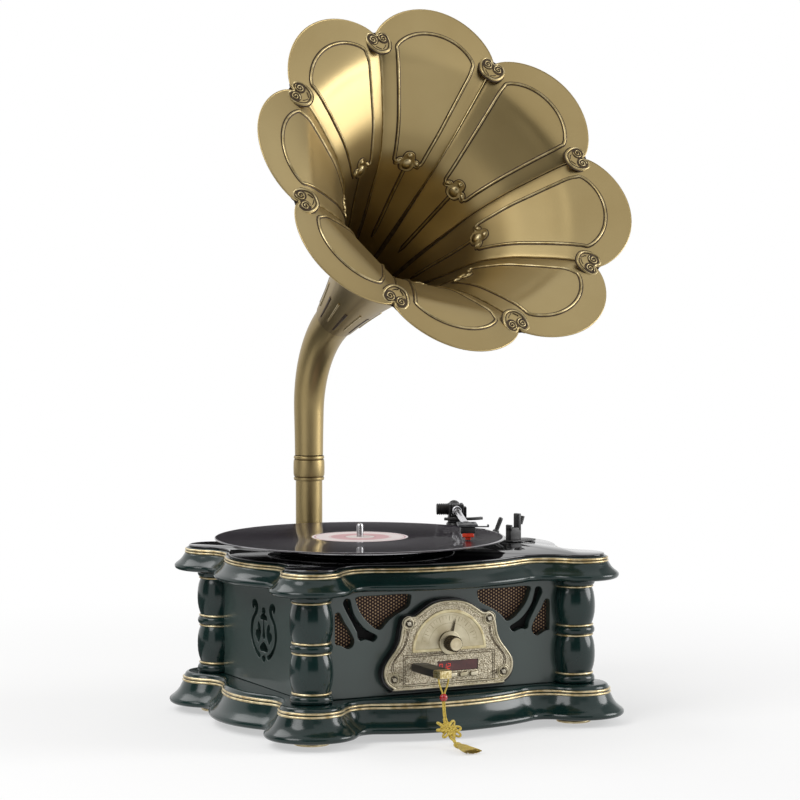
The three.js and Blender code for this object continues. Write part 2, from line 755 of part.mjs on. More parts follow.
function lyreShapes() {
  const paired = [lyreArmShares, lyreLeafShares].flatMap((shares) => [1, -1].map(
    (side) => shapeOf(shares.map((p) => lyrePoint(p, side))),
  ));
  const whole = [lyreBudShares, lyreHeartShares, lyreTearShares].map(
    (shares) => shapeOf(mirroredAcross(shares).map((p) => lyrePoint(p))),
  );
  return [...paired, ...whole];
}

const frontTools = [-1, 1].flatMap(fretShapes).map(
  (shape) => facingFront(shape, panelThickness + 2 * overrun, -cabinetFront + panelThickness + overrun),
);
const frontPlain = boxBetween(
  [-innerHalfWidth, -cabinetFront, panelBottom], [innerHalfWidth, -cabinetFront + panelThickness, panelTop],
);
addPiece('front_panel', 'lacquer', cut(frontPlain, ...frontTools, ...screwBores, plugBore, knobBore));

addPiece('rear_panel', 'lacquer', boxBetween(
  [-innerHalfWidth, cabinetRear - panelThickness, panelBottom], [innerHalfWidth, cabinetRear, panelTop],
));

[['left_panel', -1], ['right_panel', 1]].forEach(([name, side]) => {
  const outer = side * cabinetHalfWidth;
  const inner = side * (cabinetHalfWidth - panelThickness);
  const x = [outer, inner].sort((a, b) => a - b);
  const plain = boxBetween([x[0], -cabinetFront, panelBottom], [x[1], cabinetRear, panelTop]);
  const tools = lyreShapes().map((shape) => facingSide(shape, panelThickness + 2 * overrun, x[0] - overrun));
  addPiece(name, 'lacquer', cut(plain, ...tools));
});

// Speaker cloth, one strip on the back of the front panel, open round the tuner

const clothFront = -cabinetFront + panelThickness + gap;
const fretLowShare = Math.min(...smallFretShares.map(([, height]) => height));
const fretHighShare = Math.max(...largeFretShares.map(([, height]) => height));
const clothBottom = baseTop + fretLowShare * cabinetHeight - clothMargin;
const clothTop = Math.min(baseTop + fretHighShare * cabinetHeight + clothMargin, panelTop);
const cloth = boxBetween(
  [-innerHalfWidth, clothFront, clothBottom], [innerHalfWidth, clothFront + clothThickness, clothTop],
);
addPiece('grille_cloth', 'cloth', cut(cloth, knobBore));

// Loudspeakers behind the cloth: a dished frame with its magnet, facing the front

[['speaker_left', -1], ['speaker_right', 1]].forEach(([name, side]) => {
  const frame = turned(speakerShares.map(([r, y]) => [r * speakerRadius, y * speakerDepth]), 20);
  const y = clothFront + clothThickness + gap;
  const z = cabinetTop - speakerHeadroom - speakerRadius;
  frame.rotateX(-Math.PI / 2).translate(side * speakerX, y, z);
  addPiece(name, 'plastic', frame);
});

// Top board with the well for the drive, and the gloss deck plate on it

const topProfile = topBoardShares.map(([reach, height]) => [
  reach < 0 ? reach * topDraw : reach * topReach,
  cabinetTop + height * topBoardHeight,
]);
const pulleyX = platterX + pulleyDistance * Math.cos(pulleyAngle);
const pulleyY = platterY + pulleyDistance * Math.sin(pulleyAngle);
const wellX = motorRadius + motorRoom - pulleyX;
const wellY = cabinetFront - wellMargin;
const well = boxBetween([-wellX, -wellY, cabinetTop - overrun], [wellX, wellY, boardTop + overrun]);
addPiece('top_board', 'lacquer', cut(mouldedBoard(topProfile), well));

const deckBottom = boardTop + gap;
const deckSlab = mouldedBoard([
  [-deckInset, deckBottom], [-deckInset, deckTop - deckChamfer], [-deckInset - deckChamfer, deckTop],
]);
const deckHole = (radius, x, y) => (
  post(radius, deckBottom - overrun, deckTop + overrun, 16).translate(x, y, 0)
);
const bearingHole = deckHole(bearingRadius + 2 * gap, platterX, platterY);
const shaftHole = deckHole(motorShaftRadius + 2 * gap, pulleyX, pulleyY);
addPiece('deck_plate', 'deck', cut(deckSlab, bearingHole, shaftHole));

// Platter, its bearing, the mat and the record

const flangeTop = deckTop + gap + bearingFlange;
const bearingBore = spindleRadius + runningGap;
const bearing = turned([
  [bearingBore, flangeTop - bearingLength], [bearingRadius, flangeTop - bearingLength],
  [bearingRadius, deckTop + gap], [bearingFlangeRadius, deckTop + gap],
  [bearingFlangeRadius, flangeTop], [bearingBore, flangeTop], [bearingBore, flangeTop - bearingLength],
], 18);
addPiece('platter_bearing', 'alloy', bearing.translate(platterX, platterY, 0));

const spindleTop = recordTop + spindleRise;
const spindleDome = spindleDomeShares.map(
  ([r, z]) => [r * spindleRadius, spindleTop - (1 - z) * spindleRadius],
);
const platter = turned([
  [0, deckTop - shaftLength], [spindleRadius, deckTop - shaftLength],
  [spindleRadius, hubBottom], [hubRadius, hubBottom], [hubRadius, platterBottom],
  [platterRadius, platterBottom], [platterRadius, platterTop], [spindleRadius, platterTop],
  ...spindleDome,
], 32);
addPiece('platter', 'alloy', platter.translate(platterX, platterY, 0));

const mat = sleeve(spindleRadius + gap, matRadius, platterTop + gap, matTop, 32);
addPiece('platter_mat', 'rubber', mat.translate(platterX, platterY, 0));

const record = turned([
  [recordHoleRadius, recordBottom], [recordRadius, recordBottom + recordThickness / 3],
  [recordRadius, recordTop - recordThickness / 3], [recordRadius - recordThickness, recordTop],
  [labelRadius, recordTop], [labelRadius - labelRelief, recordTop - labelRelief],
  [recordHoleRadius, recordTop - labelRelief], [recordHoleRadius, recordBottom],
], 44);
addPiece('record', 'vinyl', record.translate(platterX, platterY, 0));

// Belt round the platter's hub and the motor's pulley, with the motor hung under the deck

const beltBottom = hubBottom + gap;
function beltOutline(extra) {
  const lean = Math.acos((hubRadius - pulleyRadius) / pulleyDistance);
  const points = [];
  const walk = (x, r, from, to, steps) => {
    for (let k = 0; k <= steps; k += 1) {
      const angle = from + (to - from) * k / steps;
      points.push(new THREE.Vector2(x + r * Math.cos(angle), r * Math.sin(angle)));
    }
  };
  walk(0, hubRadius + extra, lean, 2 * Math.PI - lean, 34);
  walk(pulleyDistance, pulleyRadius + extra, -lean, lean, 6);
  return points;
}
const beltShape = new THREE.Shape(beltOutline(gap + beltThickness));
beltShape.holes.push(new THREE.Path(beltOutline(gap).reverse()));
const belt = extruded(beltShape, beltHeight).rotateZ(pulleyAngle);
addPiece('drive_belt', 'rubber', belt.translate(platterX, platterY, beltBottom));

const pulley = join(
  post(pulleyRadius, beltBottom, beltBottom + beltHeight, 20),
  post(motorShaftRadius, deckBottom - motorShaftReach, beltBottom + overrun, 12),
);
addPiece('motor_pulley', 'alloy', pulley.translate(pulleyX, pulleyY, 0));
const motor = turned([
  [0, deckBottom - gap - motorHeight], [motorRadius, deckBottom - gap - motorHeight],
  [motorRadius, deckBottom - gap], [motorShaftRadius + gap, deckBottom - gap],
  [motorShaftRadius + gap, deckBottom - motorShaftReach - gap], [0, deckBottom - motorShaftReach - gap],
], 18);
addPiece('drive_motor', 'alloy', motor.translate(pulleyX, pulleyY, 0));

// Electronics: a circuit board on four posts, and the plate of sockets on the rear panel

const boardBottom = baseTop + gap + standoffHeight;
const circuitParts = [boxBetween(
  [-amplifierWidth / 2, -amplifierDepth / 2, boardBottom],
  [amplifierWidth / 2, amplifierDepth / 2, boardBottom + amplifierThickness],
)];
[[-1, -1], [1, -1], [-1, 1], [1, 1]].forEach(([sx, sy]) => {
  const leg = post(standoffRadius, baseTop + gap, boardBottom + amplifierThickness / 2, 10);
  const x = sx * (amplifierWidth / 2 - standoffRadius);
  circuitParts.push(leg.translate(x, sy * (amplifierDepth / 2 - standoffRadius), 0));
});
[-1, 0, 1].forEach((place) => {
  const centre = place * amplifierWidth / 4;
  circuitParts.push(boxBetween(
    [centre - chipWidth / 2, -chipWidth, boardBottom + amplifierThickness / 2],
    [centre + chipWidth / 2, chipWidth, boardBottom + amplifierThickness + chipHeight],
  ));
});
addPiece('amplifier_board', 'circuit', join(...circuitParts).translate(amplifierX, amplifierY, 0));

const jackPlateZ = baseTop + jackPlateRise;
const jackPlateFront = cabinetRear + gap;
const jackPlain = boxBetween(
  [jackPlateLeft, jackPlateFront, jackPlateZ - jackPlateHeight / 2],
  [jackPlateRight, jackPlateFront + jackPlateThickness, jackPlateZ + jackPlateHeight / 2],
);
const jacks = [];
for (let k = 0; k < jackCount; k += 1) {
  const x = jackPlateX + (k - (jackCount - 1) / 2) * jackPitch;
  const jack = sleeve(jackRadius / 2, jackRadius, -jackPlateThickness / 2 - jackDepth, 0, 10);
  jacks.push(alongFront(jack, x, jackPlateFront + jackPlateThickness / 2, jackPlateZ));
}
addPiece('jack_plate', 'plastic', join(jackPlain, ...jacks));

// Front plate on its black housing, with the dial, the window and the holes

function plateOutline(inset) {
  return shapeOf(mirroredAcross(plateShares).map(([x, z]) => [
    x * (plateHalfWidth - inset), plateBottom + inset + z * (plateHeight - 2 * inset),
  ]));
}

const housingBack = -cabinetFront - gap;
const windowBox = (grow, y0, y1) => boxBetween(
  [windowCentre - windowWidth / 2 - grow, y0, windowMiddle - windowHeight / 2 - grow],
  [windowCentre + windowWidth / 2 + grow, y1, windowMiddle + windowHeight / 2 + grow],
);
const buttonPlaces = Array.from({ length: buttonCount }, (_, k) => (
  windowCentre + (k - (buttonCount - 1) / 2) * buttonPitch
));
const buttonBox = (x, grow, y0, y1) => boxBetween(
  [x - buttonWidth / 2 - grow, y0, buttonMiddle - buttonHeight / 2 - grow],
  [x + buttonWidth / 2 + grow, y1, buttonMiddle + buttonHeight / 2 + grow],
);
const housingPlain = facingFront(plateOutline(-housingInset), housingDepth, housingBack, 2);
const pocketBack = -plateFront - buttonProud + buttonDepth + buttonTravel + gap;
addPiece('dial_housing', 'plastic', cut(
  housingPlain,
  knobBore,
  windowBox(gap, -plateBack - overrun, -plateFront + windowRecess + windowThickness + gap),
  ...buttonPlaces.map((x) => buttonBox(x, gap, -plateBack - overrun, pocketBack)),
  plugBore,
  ...screwBores,
));

const dialArc = new THREE.Shape();
dialArc.absarc(0, dialBase, dialRadius, 0, Math.PI);
dialArc.lineTo(-dialRadius, dialBase);
const dialHole = new THREE.Path();
dialHole.moveTo(dialRadius - dialRim, dialBase + dialRim);
dialHole.absarc(0, dialBase + dialRim, dialRadius - 2 * dialRim, 0, Math.PI);
dialArc.holes.push(dialHole);
const borderDepth = dialRelief + plateThickness / 2;
const dialBorder = facingFront(dialArc, borderDepth, -plateFront + plateThickness / 2, 10);
const plateSlab = facingFront(plateOutline(0), plateThickness, -plateBack, 2);
addPiece('dial_plate', 'plate', cut(
  join(plateSlab, dialBorder),
  knobBore,
  windowBox(gap, -plateFront - overrun, -plateBack + overrun),
  ...buttonPlaces.map((x) => buttonBox(x, gap, -plateFront - overrun, -plateBack + overrun)),
  plugBore,
  ...screwBores,
));

addPiece('display_window', 'display', windowBox(
  0, -plateFront + windowRecess, -plateFront + windowRecess + windowThickness,
));

screwPlaces.forEach(([name, x, z]) => {
  const screw = join(
    turned([
      [0, gap], [screwHeadRadius, gap],
      [screwHeadRadius * screwTaperShare, screwHeadHeight], [0, screwHeadHeight],
    ], 14),
    post(screwShankRadius, -screwShankLength, gap + screwHeadHeight / 2, 10),
  );
  addPiece(`plate_screw_${name}`, 'plate', alongFront(screw, x, -plateFront, z));
});

// Tuning knob: ribbed barrel, pale end cap, collar with the pointer, and the shaft behind

const knobBack = gap + dialRelief;
const ribbedRim = Array.from({ length: knobRibs * 2 }, (_, k) => {
  const angle = k * Math.PI / knobRibs;
  const radius = knobRadius - (k % 2) * knobRibDepth;
  return [radius * Math.cos(angle), radius * Math.sin(angle)];
});
const barrel = extruded(shapeOf(ribbedRim), knobLength - knobCollar);
barrel.translate(0, 0, knobBack + knobCollar / 2);
const knobCap = post(knobFaceRadius, knobLength / 2, knobBack + knobLength + gap, 20);
const knobRing = post(knobCollarRadius, knobBack, knobBack + knobCollar, 24);
const pointer = boxBetween(
  [-pointerWidth / 2, pointerStart, knobBack],
  [pointerWidth / 2, pointerStart + pointerLength, knobBack + pointerThickness],
).rotateZ(pointerAngle);
const knobShaft = post(knobShaftRadius, -knobShaftLength, knobBack + knobCollar / 2, 16);
const knob = join(barrel, knobCap, knobRing, pointer, knobShaft);
addPiece('tuning_knob', 'plastic', alongFront(knob, 0, -plateFront, knobHeight));

buttonPlaces.forEach((x, k) => {
  const front = -plateFront - buttonProud;
  addPiece(`button_${k + 1}`, 'plate', buttonBox(x, 0, front, front + buttonDepth));
});

// USB stick: plug, black body and a gold end cap that narrows towards its end

const stickBack = -plateFront - gap;
const stickEnd = stickBack - stickLength;
const stickBody = boxBetween(
  [stickX - stickWidth / 2, stickEnd, stickZ - stickThickness / 2],
  [stickX + stickWidth / 2, stickBack, stickZ + stickThickness / 2],
);
const stickPlug = plugBox(0, stickBack - overrun, -plateFront + plugLength);
const capShape = shapeOf([
  [stickX - stickWidth / 2, 0], [stickX + stickWidth / 2, 0],
  [stickX + stickCapFront / 2, stickCapLength], [stickX - stickCapFront / 2, stickCapLength],
]);
const stickCap = extruded(capShape, stickThickness).rotateX(Math.PI)
  .translate(0, stickEnd + gap, stickZ + stickThickness / 2);
addPiece('usb_stick', 'plastic', join(stickBody, stickPlug, stickCap), trailing);

// Lanyard: two strands from the cap to the bead, one doubled cord on to the knot, and a tassel that
// lies on the floor in front of the base

const capMiddleY = stickEnd + gap - stickCapLength / 2;
const strandTop = stickZ - stickThickness / 2 - gap;
const beadZ = strandTop - beadDrop;
const knotReach = knotSpan / 2;
const knotY = capMiddleY - cordSag - knotReach * Math.sin(knotTilt);
const knotZ = knotTop - knotReach * Math.cos(knotTilt);

function cordTube(points, radius, steps, sides) {
  const path = new THREE.CatmullRomCurve3(points.map(([x, y, z]) => new THREE.Vector3(x, y, z)));
  const section = new THREE.Shape();
  section.absarc(0, 0, radius, 0, 2 * Math.PI);
  const options = { steps, bevelEnabled: false, curveSegments: sides, extrudePath: path };
  return new THREE.ExtrudeGeometry(section, options);
}

const strands = [-1, 1].map((side) => cordTube([
  ...strandShares.map(([out, down]) => [
    stickX + side * out * strandSpread, capMiddleY, strandTop - down * beadDrop,
  ]),
  [stickX + side * strandTouch, capMiddleY, beadZ + beadRadius + gap],
], strandRadius, 6, 6));
addPiece('lanyard', 'cord', join(...strands), trailing);

const bead = new THREE.SphereGeometry(beadRadius, 12, 8);
addPiece('lanyard_bead', 'bead', bead.translate(stickX, capMiddleY, beadZ), trailing);

const dropCord = cordTube([
  [stickX, capMiddleY, beadZ - beadRadius - gap],
  [stickX, capMiddleY - cordSag, (beadZ + knotTop - cordSink) / 2],
  [stickX, capMiddleY - cordSink, knotTop - cordSink],
], cordRadius, 5, 6);
const knotPetals = 8;
const knotOutline = Array.from({ length: knotPetals * 4 }, (_, k) => {
  const angle = k * 2 * Math.PI / (knotPetals * 4);
  const radius = knotReach * (1 - knotLobeShare + knotLobeShare * Math.cos(angle * knotPetals / 2));
  return [radius * Math.cos(angle), radius * Math.sin(angle)];
});
const knotDisc = extruded(shapeOf(knotOutline), knotThickness).translate(0, 0, -knotThickness / 2)
  .rotateX(Math.PI / 2 - knotTilt).translate(stickX, knotY, knotZ);
addPiece('lanyard_knot', 'cord', join(dropCord, knotDisc), trailing);

const knotEnd = {
  y: knotY - (knotReach + gap) * Math.sin(knotTilt),
  z: knotZ - (knotReach + gap) * Math.cos(knotTilt),
};
const tasselZ = floorClearance + tasselEndRadius * tasselFlatness;
const tasselY = knotEnd.y - tasselStem;
const tasselBody = turned(tasselShares.map(([r, z]) => [r * tasselEndRadius, z * tasselLength]), 12);
tasselBody.scale(1, tasselFlatness, 1).rotateX(Math.PI / 2).translate(stickX, tasselY, tasselZ);
const stemCord = cordTube([
  [stickX, knotEnd.y, knotEnd.z],
  [stickX, knotEnd.y - tasselStem / 2, (knotEnd.z + tasselZ) / 2],
  [stickX, tasselY - overrun, tasselZ],
], cordRadius, 4, 6);
addPiece('tassel', 'cord', join(tasselBody, stemCord), trailing);

// Tonearm: fixed pedestal with the lift's housing, then the pieces that turn with the arm. The arm's
// own pieces are made along -Y from the pivot and then turned to the photograph's place.

function atArm(geometry) {
  return geometry.rotateZ(armAngle).translate(armX, armY, 0);
}

function polar(radius, angle) {
  return [armX + radius * Math.cos(angle), armY + radius * Math.sin(angle)];
}

const pedestalBottom = deckTop + gap;
const pedestalTop = pedestalBottom + pedestalHeight;
const [liftX, liftY] = polar(liftRadius, liftAngle);
const liftTop = armZ - armTubeRadius - liftBarClearance;
function pedestalBridge(reach, angle) {
  return boxBetween(
    [-liftHousingRadius, -reach, pedestalBottom], [liftHousingRadius, 0, pedestalBottom + pedestalFlange],
  ).rotateZ(angle + Math.PI / 2).translate(armX, armY, 0);
}
const leverReach = Math.hypot(leverX - armX, leverY - armY);
const leverBearing = Math.atan2(leverY - armY, leverX - armX);
const leverStand = post(leverStandRadius, pedestalBottom, pedestalBottom + leverStandHeight, 16)
  .translate(leverX, leverY, 0);
const liftHousing = post(liftHousingRadius, pedestalBottom, pedestalBottom + liftHousingHeight, 16)
  .translate(liftX, liftY, 0);
const pedestal = cut(
  join(
    post(pedestalFlangeRadius, pedestalBottom, pedestalBottom + pedestalFlange, 28).translate(armX, armY, 0),
    post(pedestalRadius, pedestalBottom, pedestalTop, 28).translate(armX, armY, 0),
    pedestalBridge(liftRadius, liftAngle),
    pedestalBridge(leverReach, leverBearing),
    leverStand,
    liftHousing,
  ),
  post(liftPostRadius + runningGap, pedestalBottom + pedestalFlange / 2, pedestalTop + overrun, 16)
    .translate(liftX, liftY, 0),
);
addPiece('arm_pedestal', 'plastic', pedestal);

const turretBottom = pedestalTop + gap;
const yokeTop = turretBottom + turretDisc + yokeHeight;
const cheekX = yokeWidth / 2;
const turret = join(
  post(turretRadius, turretBottom, turretBottom + turretDisc, 24),
  boxBetween([-cheekX, -yokeDepth / 2, turretBottom + turretDisc / 2],
    [-cheekX + yokeCheek, yokeDepth / 2, yokeTop]),
  boxBetween([cheekX - yokeCheek, -yokeDepth / 2, turretBottom + turretDisc / 2],
    [cheekX, yokeDepth / 2, yokeTop]),
  boxBetween([-cheekX, -yokeDepth / 2, turretBottom + turretDisc / 2],
    [cheekX, yokeDepth / 2, turretBottom + turretDisc]),
  boxBetween([cheekX - overrun, -cheekPlateHeight / 2, yokeTop - cheekPlateHeight - cheekPlate],
    [cheekX + cheekPlate, cheekPlateHeight / 2, yokeTop - cheekPlate]),
  post(pivotCapRadius, -pivotCapLength, overrun, 20).rotateY(Math.PI / 2)
    .translate(-cheekX, 0, armZ),
);
addPiece('arm_turret', 'plastic', atArm(turret));

const blockHalfWidth = cheekX - yokeCheek - runningGap;
const blockBottom = turretBottom + turretDisc + armBlockLift;
const tubeEnd = -armLength + shellBack;
const alongArm = (radius, start, end, sides) => alongFront(post(radius, start, end, sides), 0, 0, armZ);
const armBody = join(
  boxBetween([-blockHalfWidth, -armBlockDepth / 2, blockBottom],
    [blockHalfWidth, armBlockDepth / 2, blockBottom + armBlockHeight]),
  alongArm(armTubeRadius, -weightStart - weightLength, -tubeEnd, 16),
  alongArm(armCollarRadius, armBlockDepth / 2 - overrun, armCollarStart + armCollarLength, 20),
);
addPiece('arm_tube', 'steel', atArm(armBody));

const weight = sleeve(armTubeRadius + gap, weightRadius, -weightStart - weightLength, -weightStart, 24);
addPiece('counterweight', 'plastic', atArm(alongFront(weight, 0, 0, armZ)));

const shellStart = tubeEnd - gap;
const shellTop = armZ + armTubeRadius;
const shell = join(
  boxBetween([-shellWidth / 2, shellStart - shellLength, shellTop - shellThickness],
    [shellWidth / 2, shellStart, shellTop]),
  boxBetween([-armTubeRadius, shellStart - shellLength / 3, armZ - armTubeRadius],
    [armTubeRadius, shellStart, shellTop]),
  boxBetween([shellWidth / 2 - overrun, shellStart - shellLength, shellTop - shellThickness],
    [shellWidth / 2 + liftLength, shellStart - shellLength + liftWidth,
      shellTop - shellThickness + liftThickness]),
);
addPiece('headshell', 'alloy', atArm(shell));

const cartridgeTop = shellTop - shellThickness - gap;
const stylusTip = recordTop + gap;
const cartridgeFront = shellStart - shellLength;
const cartridge = join(
  boxBetween([-cartridgeWidth / 2, cartridgeFront, cartridgeTop - cartridgeHeight],
    [cartridgeWidth / 2, cartridgeFront + cartridgeLength, cartridgeTop]),
  boxBetween([-stylusWidth, cartridgeFront, stylusTip + stylusDrop],
    [stylusWidth, cartridgeFront + cartridgeLength / 2, cartridgeTop - cartridgeHeight / 2]),
  boxBetween([-stylusWidth / 2, cartridgeFront + overrun, stylusTip],
    [stylusWidth / 2, cartridgeFront + overrun + stylusLength, stylusTip + stylusDrop + overrun]),
);
addPiece('cartridge', 'stylus', atArm(cartridge));

// Lift bar on its post, and the cue lever that raises it

const barStart = liftAngle - liftSweep / 2;
const barShape = new THREE.Shape();
barShape.absarc(0, 0, liftRadius + liftBarWidth / 2, barStart, barStart + liftSweep, false);
barShape.absarc(0, 0, liftRadius - liftBarWidth / 2, barStart + liftSweep, barStart, true);
const liftBar = join(
  extruded(barShape, liftBarHeight, 10).translate(armX, armY, liftTop - liftBarHeight),
  post(liftPostRadius, pedestalBottom + pedestalFlange + gap, liftTop - liftBarHeight / 2, 12)
    .translate(liftX, liftY, 0),
);
addPiece('lift_bar', 'plastic', liftBar);

const leverFoot = pedestalBottom + leverStandHeight + gap;
const lever = join(
  boxBetween([-leverWidth / 2, -leverThickness / 2, 0], [leverWidth / 2, leverThickness / 2, leverHeight]),
  alongFront(post(leverBarrelRadius, -leverThickness, leverThickness, 14), 0, 0, 0),
).rotateY(leverLean).translate(leverX, leverY, leverFoot + leverBarrelRadius);
addPiece('cue_lever', 'plastic', lever);

// Arm rest: a foot plate, a stem with two prongs, and the clip on the outer prong. It is made along
// the parked arm, which passes between the prongs.

const parkAngle = Math.atan2(restY - armY, restX - armX) + Math.PI / 2;
function atRest(geometry) {
  return geometry.rotateZ(parkAngle).translate(restX, restY, 0);
}
const restBottom = deckTop + gap;
const forkHalf = armTubeRadius + 2 * gap;
const rest = join(
  boxBetween([-restStemWidth / 2, -restBaseWidth / 2, restBottom],
    [restBaseLength - restStemWidth / 2, restBaseWidth / 2, restBottom + restBaseHeight]),
  boxBetween([-forkHalf - restInnerProng, -restStemDepth / 2, restBottom],
    [forkHalf + restOuterProng, restStemDepth / 2, restBottom + restFloorHeight]),
  boxBetween([-forkHalf - restInnerProng, -restStemDepth / 2, restBottom],
    [-forkHalf, restStemDepth / 2, restBottom + restInnerHeight]),
  boxBetween([forkHalf, -restStemDepth / 2, restBottom],
    [forkHalf + restOuterProng, restStemDepth / 2, restBottom + restOuterHeight]),
);
addPiece('arm_rest', 'plastic', atRest(rest));
const clip = boxBetween([0, -clipWidth / 2, 0], [clipThickness, clipWidth / 2, clipLength])
  .rotateY(clipLean).translate(forkHalf + restOuterProng + runningGap, 0,
    restBottom + restOuterHeight - clipLength - clipThickness);
addPiece('rest_clip', 'plastic', atRest(clip));

// Horn: the bracket on the rear panel, the pipe that stands in it, and the collar on the pipe

const bracketShape = new THREE.Shape();
bracketShape.moveTo(-bracketHalfWidth, cabinetRear + gap);
bracketShape.lineTo(bracketHalfWidth, cabinetRear + gap);
bracketShape.lineTo(bracketHalfWidth, pipeY);
bracketShape.absarc(0, pipeY, bracketHalfWidth, 0, Math.PI);
const bracketBody = extruded(bracketShape, bracketHeight, 8).translate(pipeX, 0, bracketBottom);
const bracketBore = post(pipeRadius + gap, pipeFoot - gap, bracketTop + overrun, 16);
addPiece('horn_bracket', 'lacquer', cut(bracketBody, bracketBore.translate(pipeX, pipeY, 0)));

const pipe = sleeve(pipeRadius - pipeWall, pipeRadius, pipeFoot, pipeTop, 16);
addPiece('horn_pipe', 'horn', pipe.translate(pipeX, pipeY, 0));

const collarInner = pipeRadius + gap;
const collarMiddle = (collarBottom + pipeTop) / 2;
const collar = turned([
  [collarInner, collarBottom], [collarInner + collarWall - collarBulge, collarBottom],
  [collarInner + collarWall, collarBottom + 2 * collarWall],
  [collarInner + collarWall + collarBulge / 2, collarMiddle],
  [collarInner + collarWall, pipeTop - 2 * collarWall], [collarInner + collarWall - collarBulge, pipeTop],
  [collarInner, pipeTop], [collarInner, collarBottom],
], 16);
addPiece('horn_collar', 'horn', collar.translate(pipeX, pipeY, 0));

// Elbow and bell turn together on the pipe. They are made round the pipe's axis in the YZ plane,
// leaning towards -Y, and then turned by the horn's yaw.

const horn = new THREE.Group();
horn.position.set(pipeX, pipeY, 0);
horn.rotation.z = hornYaw;
player.add(horn);

const elbowFoot = pipeTop + gap;
const bendAngle = Math.PI / 2 - hornPitch;
const elbowEnd = {
  y: -elbowBend * (1 - Math.cos(bendAngle)) - elbowRun * Math.sin(bendAngle),
  z: elbowFoot + elbowRise + elbowBend * Math.sin(bendAngle) + elbowRun * Math.cos(bendAngle),
};

function ringAt(y, z, tilt, radius, sides) {
  return Array.from({ length: sides }, (_, k) => {
    const angle = k * 2 * Math.PI / sides;
    const x = radius * Math.cos(angle);
    const across = radius * Math.sin(angle);
    return new THREE.Vector3(x, y + across * Math.cos(tilt), z + across * Math.sin(tilt));
  });
}

const elbowStations = [[0, elbowFoot, 0], [0, elbowFoot + elbowRise / 2, 0]];
const bendSteps = 7;
for (let k = 0; k <= bendSteps; k += 1) {
  const angle = bendAngle * k / bendSteps;
  elbowStations.push([
    -elbowBend * (1 - Math.cos(angle)), elbowFoot + elbowRise + elbowBend * Math.sin(angle), angle,
  ]);
}
elbowStations.push([elbowEnd.y, elbowEnd.z, bendAngle]);
const elbowRings = elbowStations.map(([y, z, tilt], i) => {
  const way = i / (elbowStations.length - 1);
  const radius = elbowFootRadius + (seamRadius - elbowFootRadius) * way ** elbowFlarePower;
  return { y, z, tilt, radius };
});
const elbowSides = 16;
function elbowSkin(wall) {
  return elbowRings.map((r) => ringAt(r.y, r.z, r.tilt, r.radius - wall, elbowSides));
}
const elbowTube = skinOver([...elbowSkin(0), ...elbowSkin(elbowWall).reverse()], true);
const spigotOuter = pipeRadius - pipeWall - runningGap;
const spigot = turned([
  [spigotOuter - elbowWall, elbowFoot - spigotLength], [spigotOuter, elbowFoot - spigotLength],
  [spigotOuter, elbowFoot], [elbowFootRadius - elbowWall / 2, elbowFoot],
  [elbowFootRadius - elbowWall / 2, elbowFoot + elbowWall], [spigotOuter - elbowWall, elbowFoot + elbowWall],
  [spigotOuter - elbowWall, elbowFoot - spigotLength],
], elbowSides);
addPiece('horn_elbow', 'horn', join(elbowTube, spigot), horn);

// Bell: rows along the profile, eight petals round it. A petal swells towards the viewer between
// two creases, and its rim reaches beyond the notches.

const bellColumns = petalCount * 6;
function petalShare(angle) {
  return Math.abs(Math.sin(angle * petalCount / 2)) ** petalRoundness;
}

function bellPoint(row, lobe, wall) {
  const [depthShare, radiusShare] = bellShares[row];
  const [beforeDepth, beforeRadius] = bellShares[Math.max(row - 1, 0)];
  const [afterDepth, afterRadius] = bellShares[Math.min(row + 1, bellShares.length - 1)];
  const span = notchRadius - seamRadius;
  const slope = Math.atan2((afterRadius - beforeRadius) * span, (afterDepth - beforeDepth) * bellDepth);
  const swell = Math.max(0, (depthShare - pillowStartShare) / (1 - pillowStartShare));
  const pillow = lobe * petalPillow * Math.sin(swell * Math.PI / 2);
  const isRim = row === bellShares.length - 1;
  const outward = isRim ? lobe * petalReach : -pillow * Math.cos(slope);
  const forward = isRim ? lobe * petalRise : pillow * Math.sin(slope);
  return [
    seamRadius + span * radiusShare + outward + wall * Math.cos(slope),
    bellDepth * depthShare + forward - wall * Math.sin(slope),
  ];
}

function bellRing(row, wall) {
  return Array.from({ length: bellColumns }, (_, k) => {
    const angle = k * 2 * Math.PI / bellColumns;
    const [radius, depth] = bellPoint(row, petalShare(angle), wall);
    const turn = petalStart + angle;
    return new THREE.Vector3(radius * Math.cos(turn), radius * Math.sin(turn), depth);
  });
}

const bellRows = bellShares.map((_, row) => row);
const bellShell = skinOver([
  ...bellRows.map((row) => bellRing(row, bellWall)),
  ...bellRows.map((row) => bellRing(row, 0)).reverse(),
], true);

const heart = shapeOf(mirroredAcross(medalShares).map(([x, y]) => [x * medalWidth, y * medalHeight]));
const medals = Array.from({ length: petalCount }, (_, k) => {
  const medal = extruded(heart, medalThickness);
  medal.translate(0, notchRadius - medalHeight * medalSeatShare, bellDepth - medalSink);
  return medal.rotateZ(petalStart - Math.PI / 2 + k * 2 * Math.PI / petalCount);
});
const bell = join(bellShell, ...medals);
bell.rotateX(bendAngle);
bell.translate(0, elbowEnd.y - gap * Math.sin(bendAngle), elbowEnd.z + gap * Math.cos(bendAngle));
addPiece('horn_bell', 'horn', bell, horn);

// The origin: middle of the outer box without the stick and its lanyard, on the floor

player.updateMatrixWorld(true);
const outerBox = new THREE.Box3().setFromObject(player, true);
player.add(trailing);
const model = new THREE.Group();
model.add(player);
player.position.set(-(outerBox.min.x + outerBox.max.x) / 2, -(outerBox.min.y + outerBox.max.y) / 2, 0);
model.updateMatrixWorld(true);

export default model;
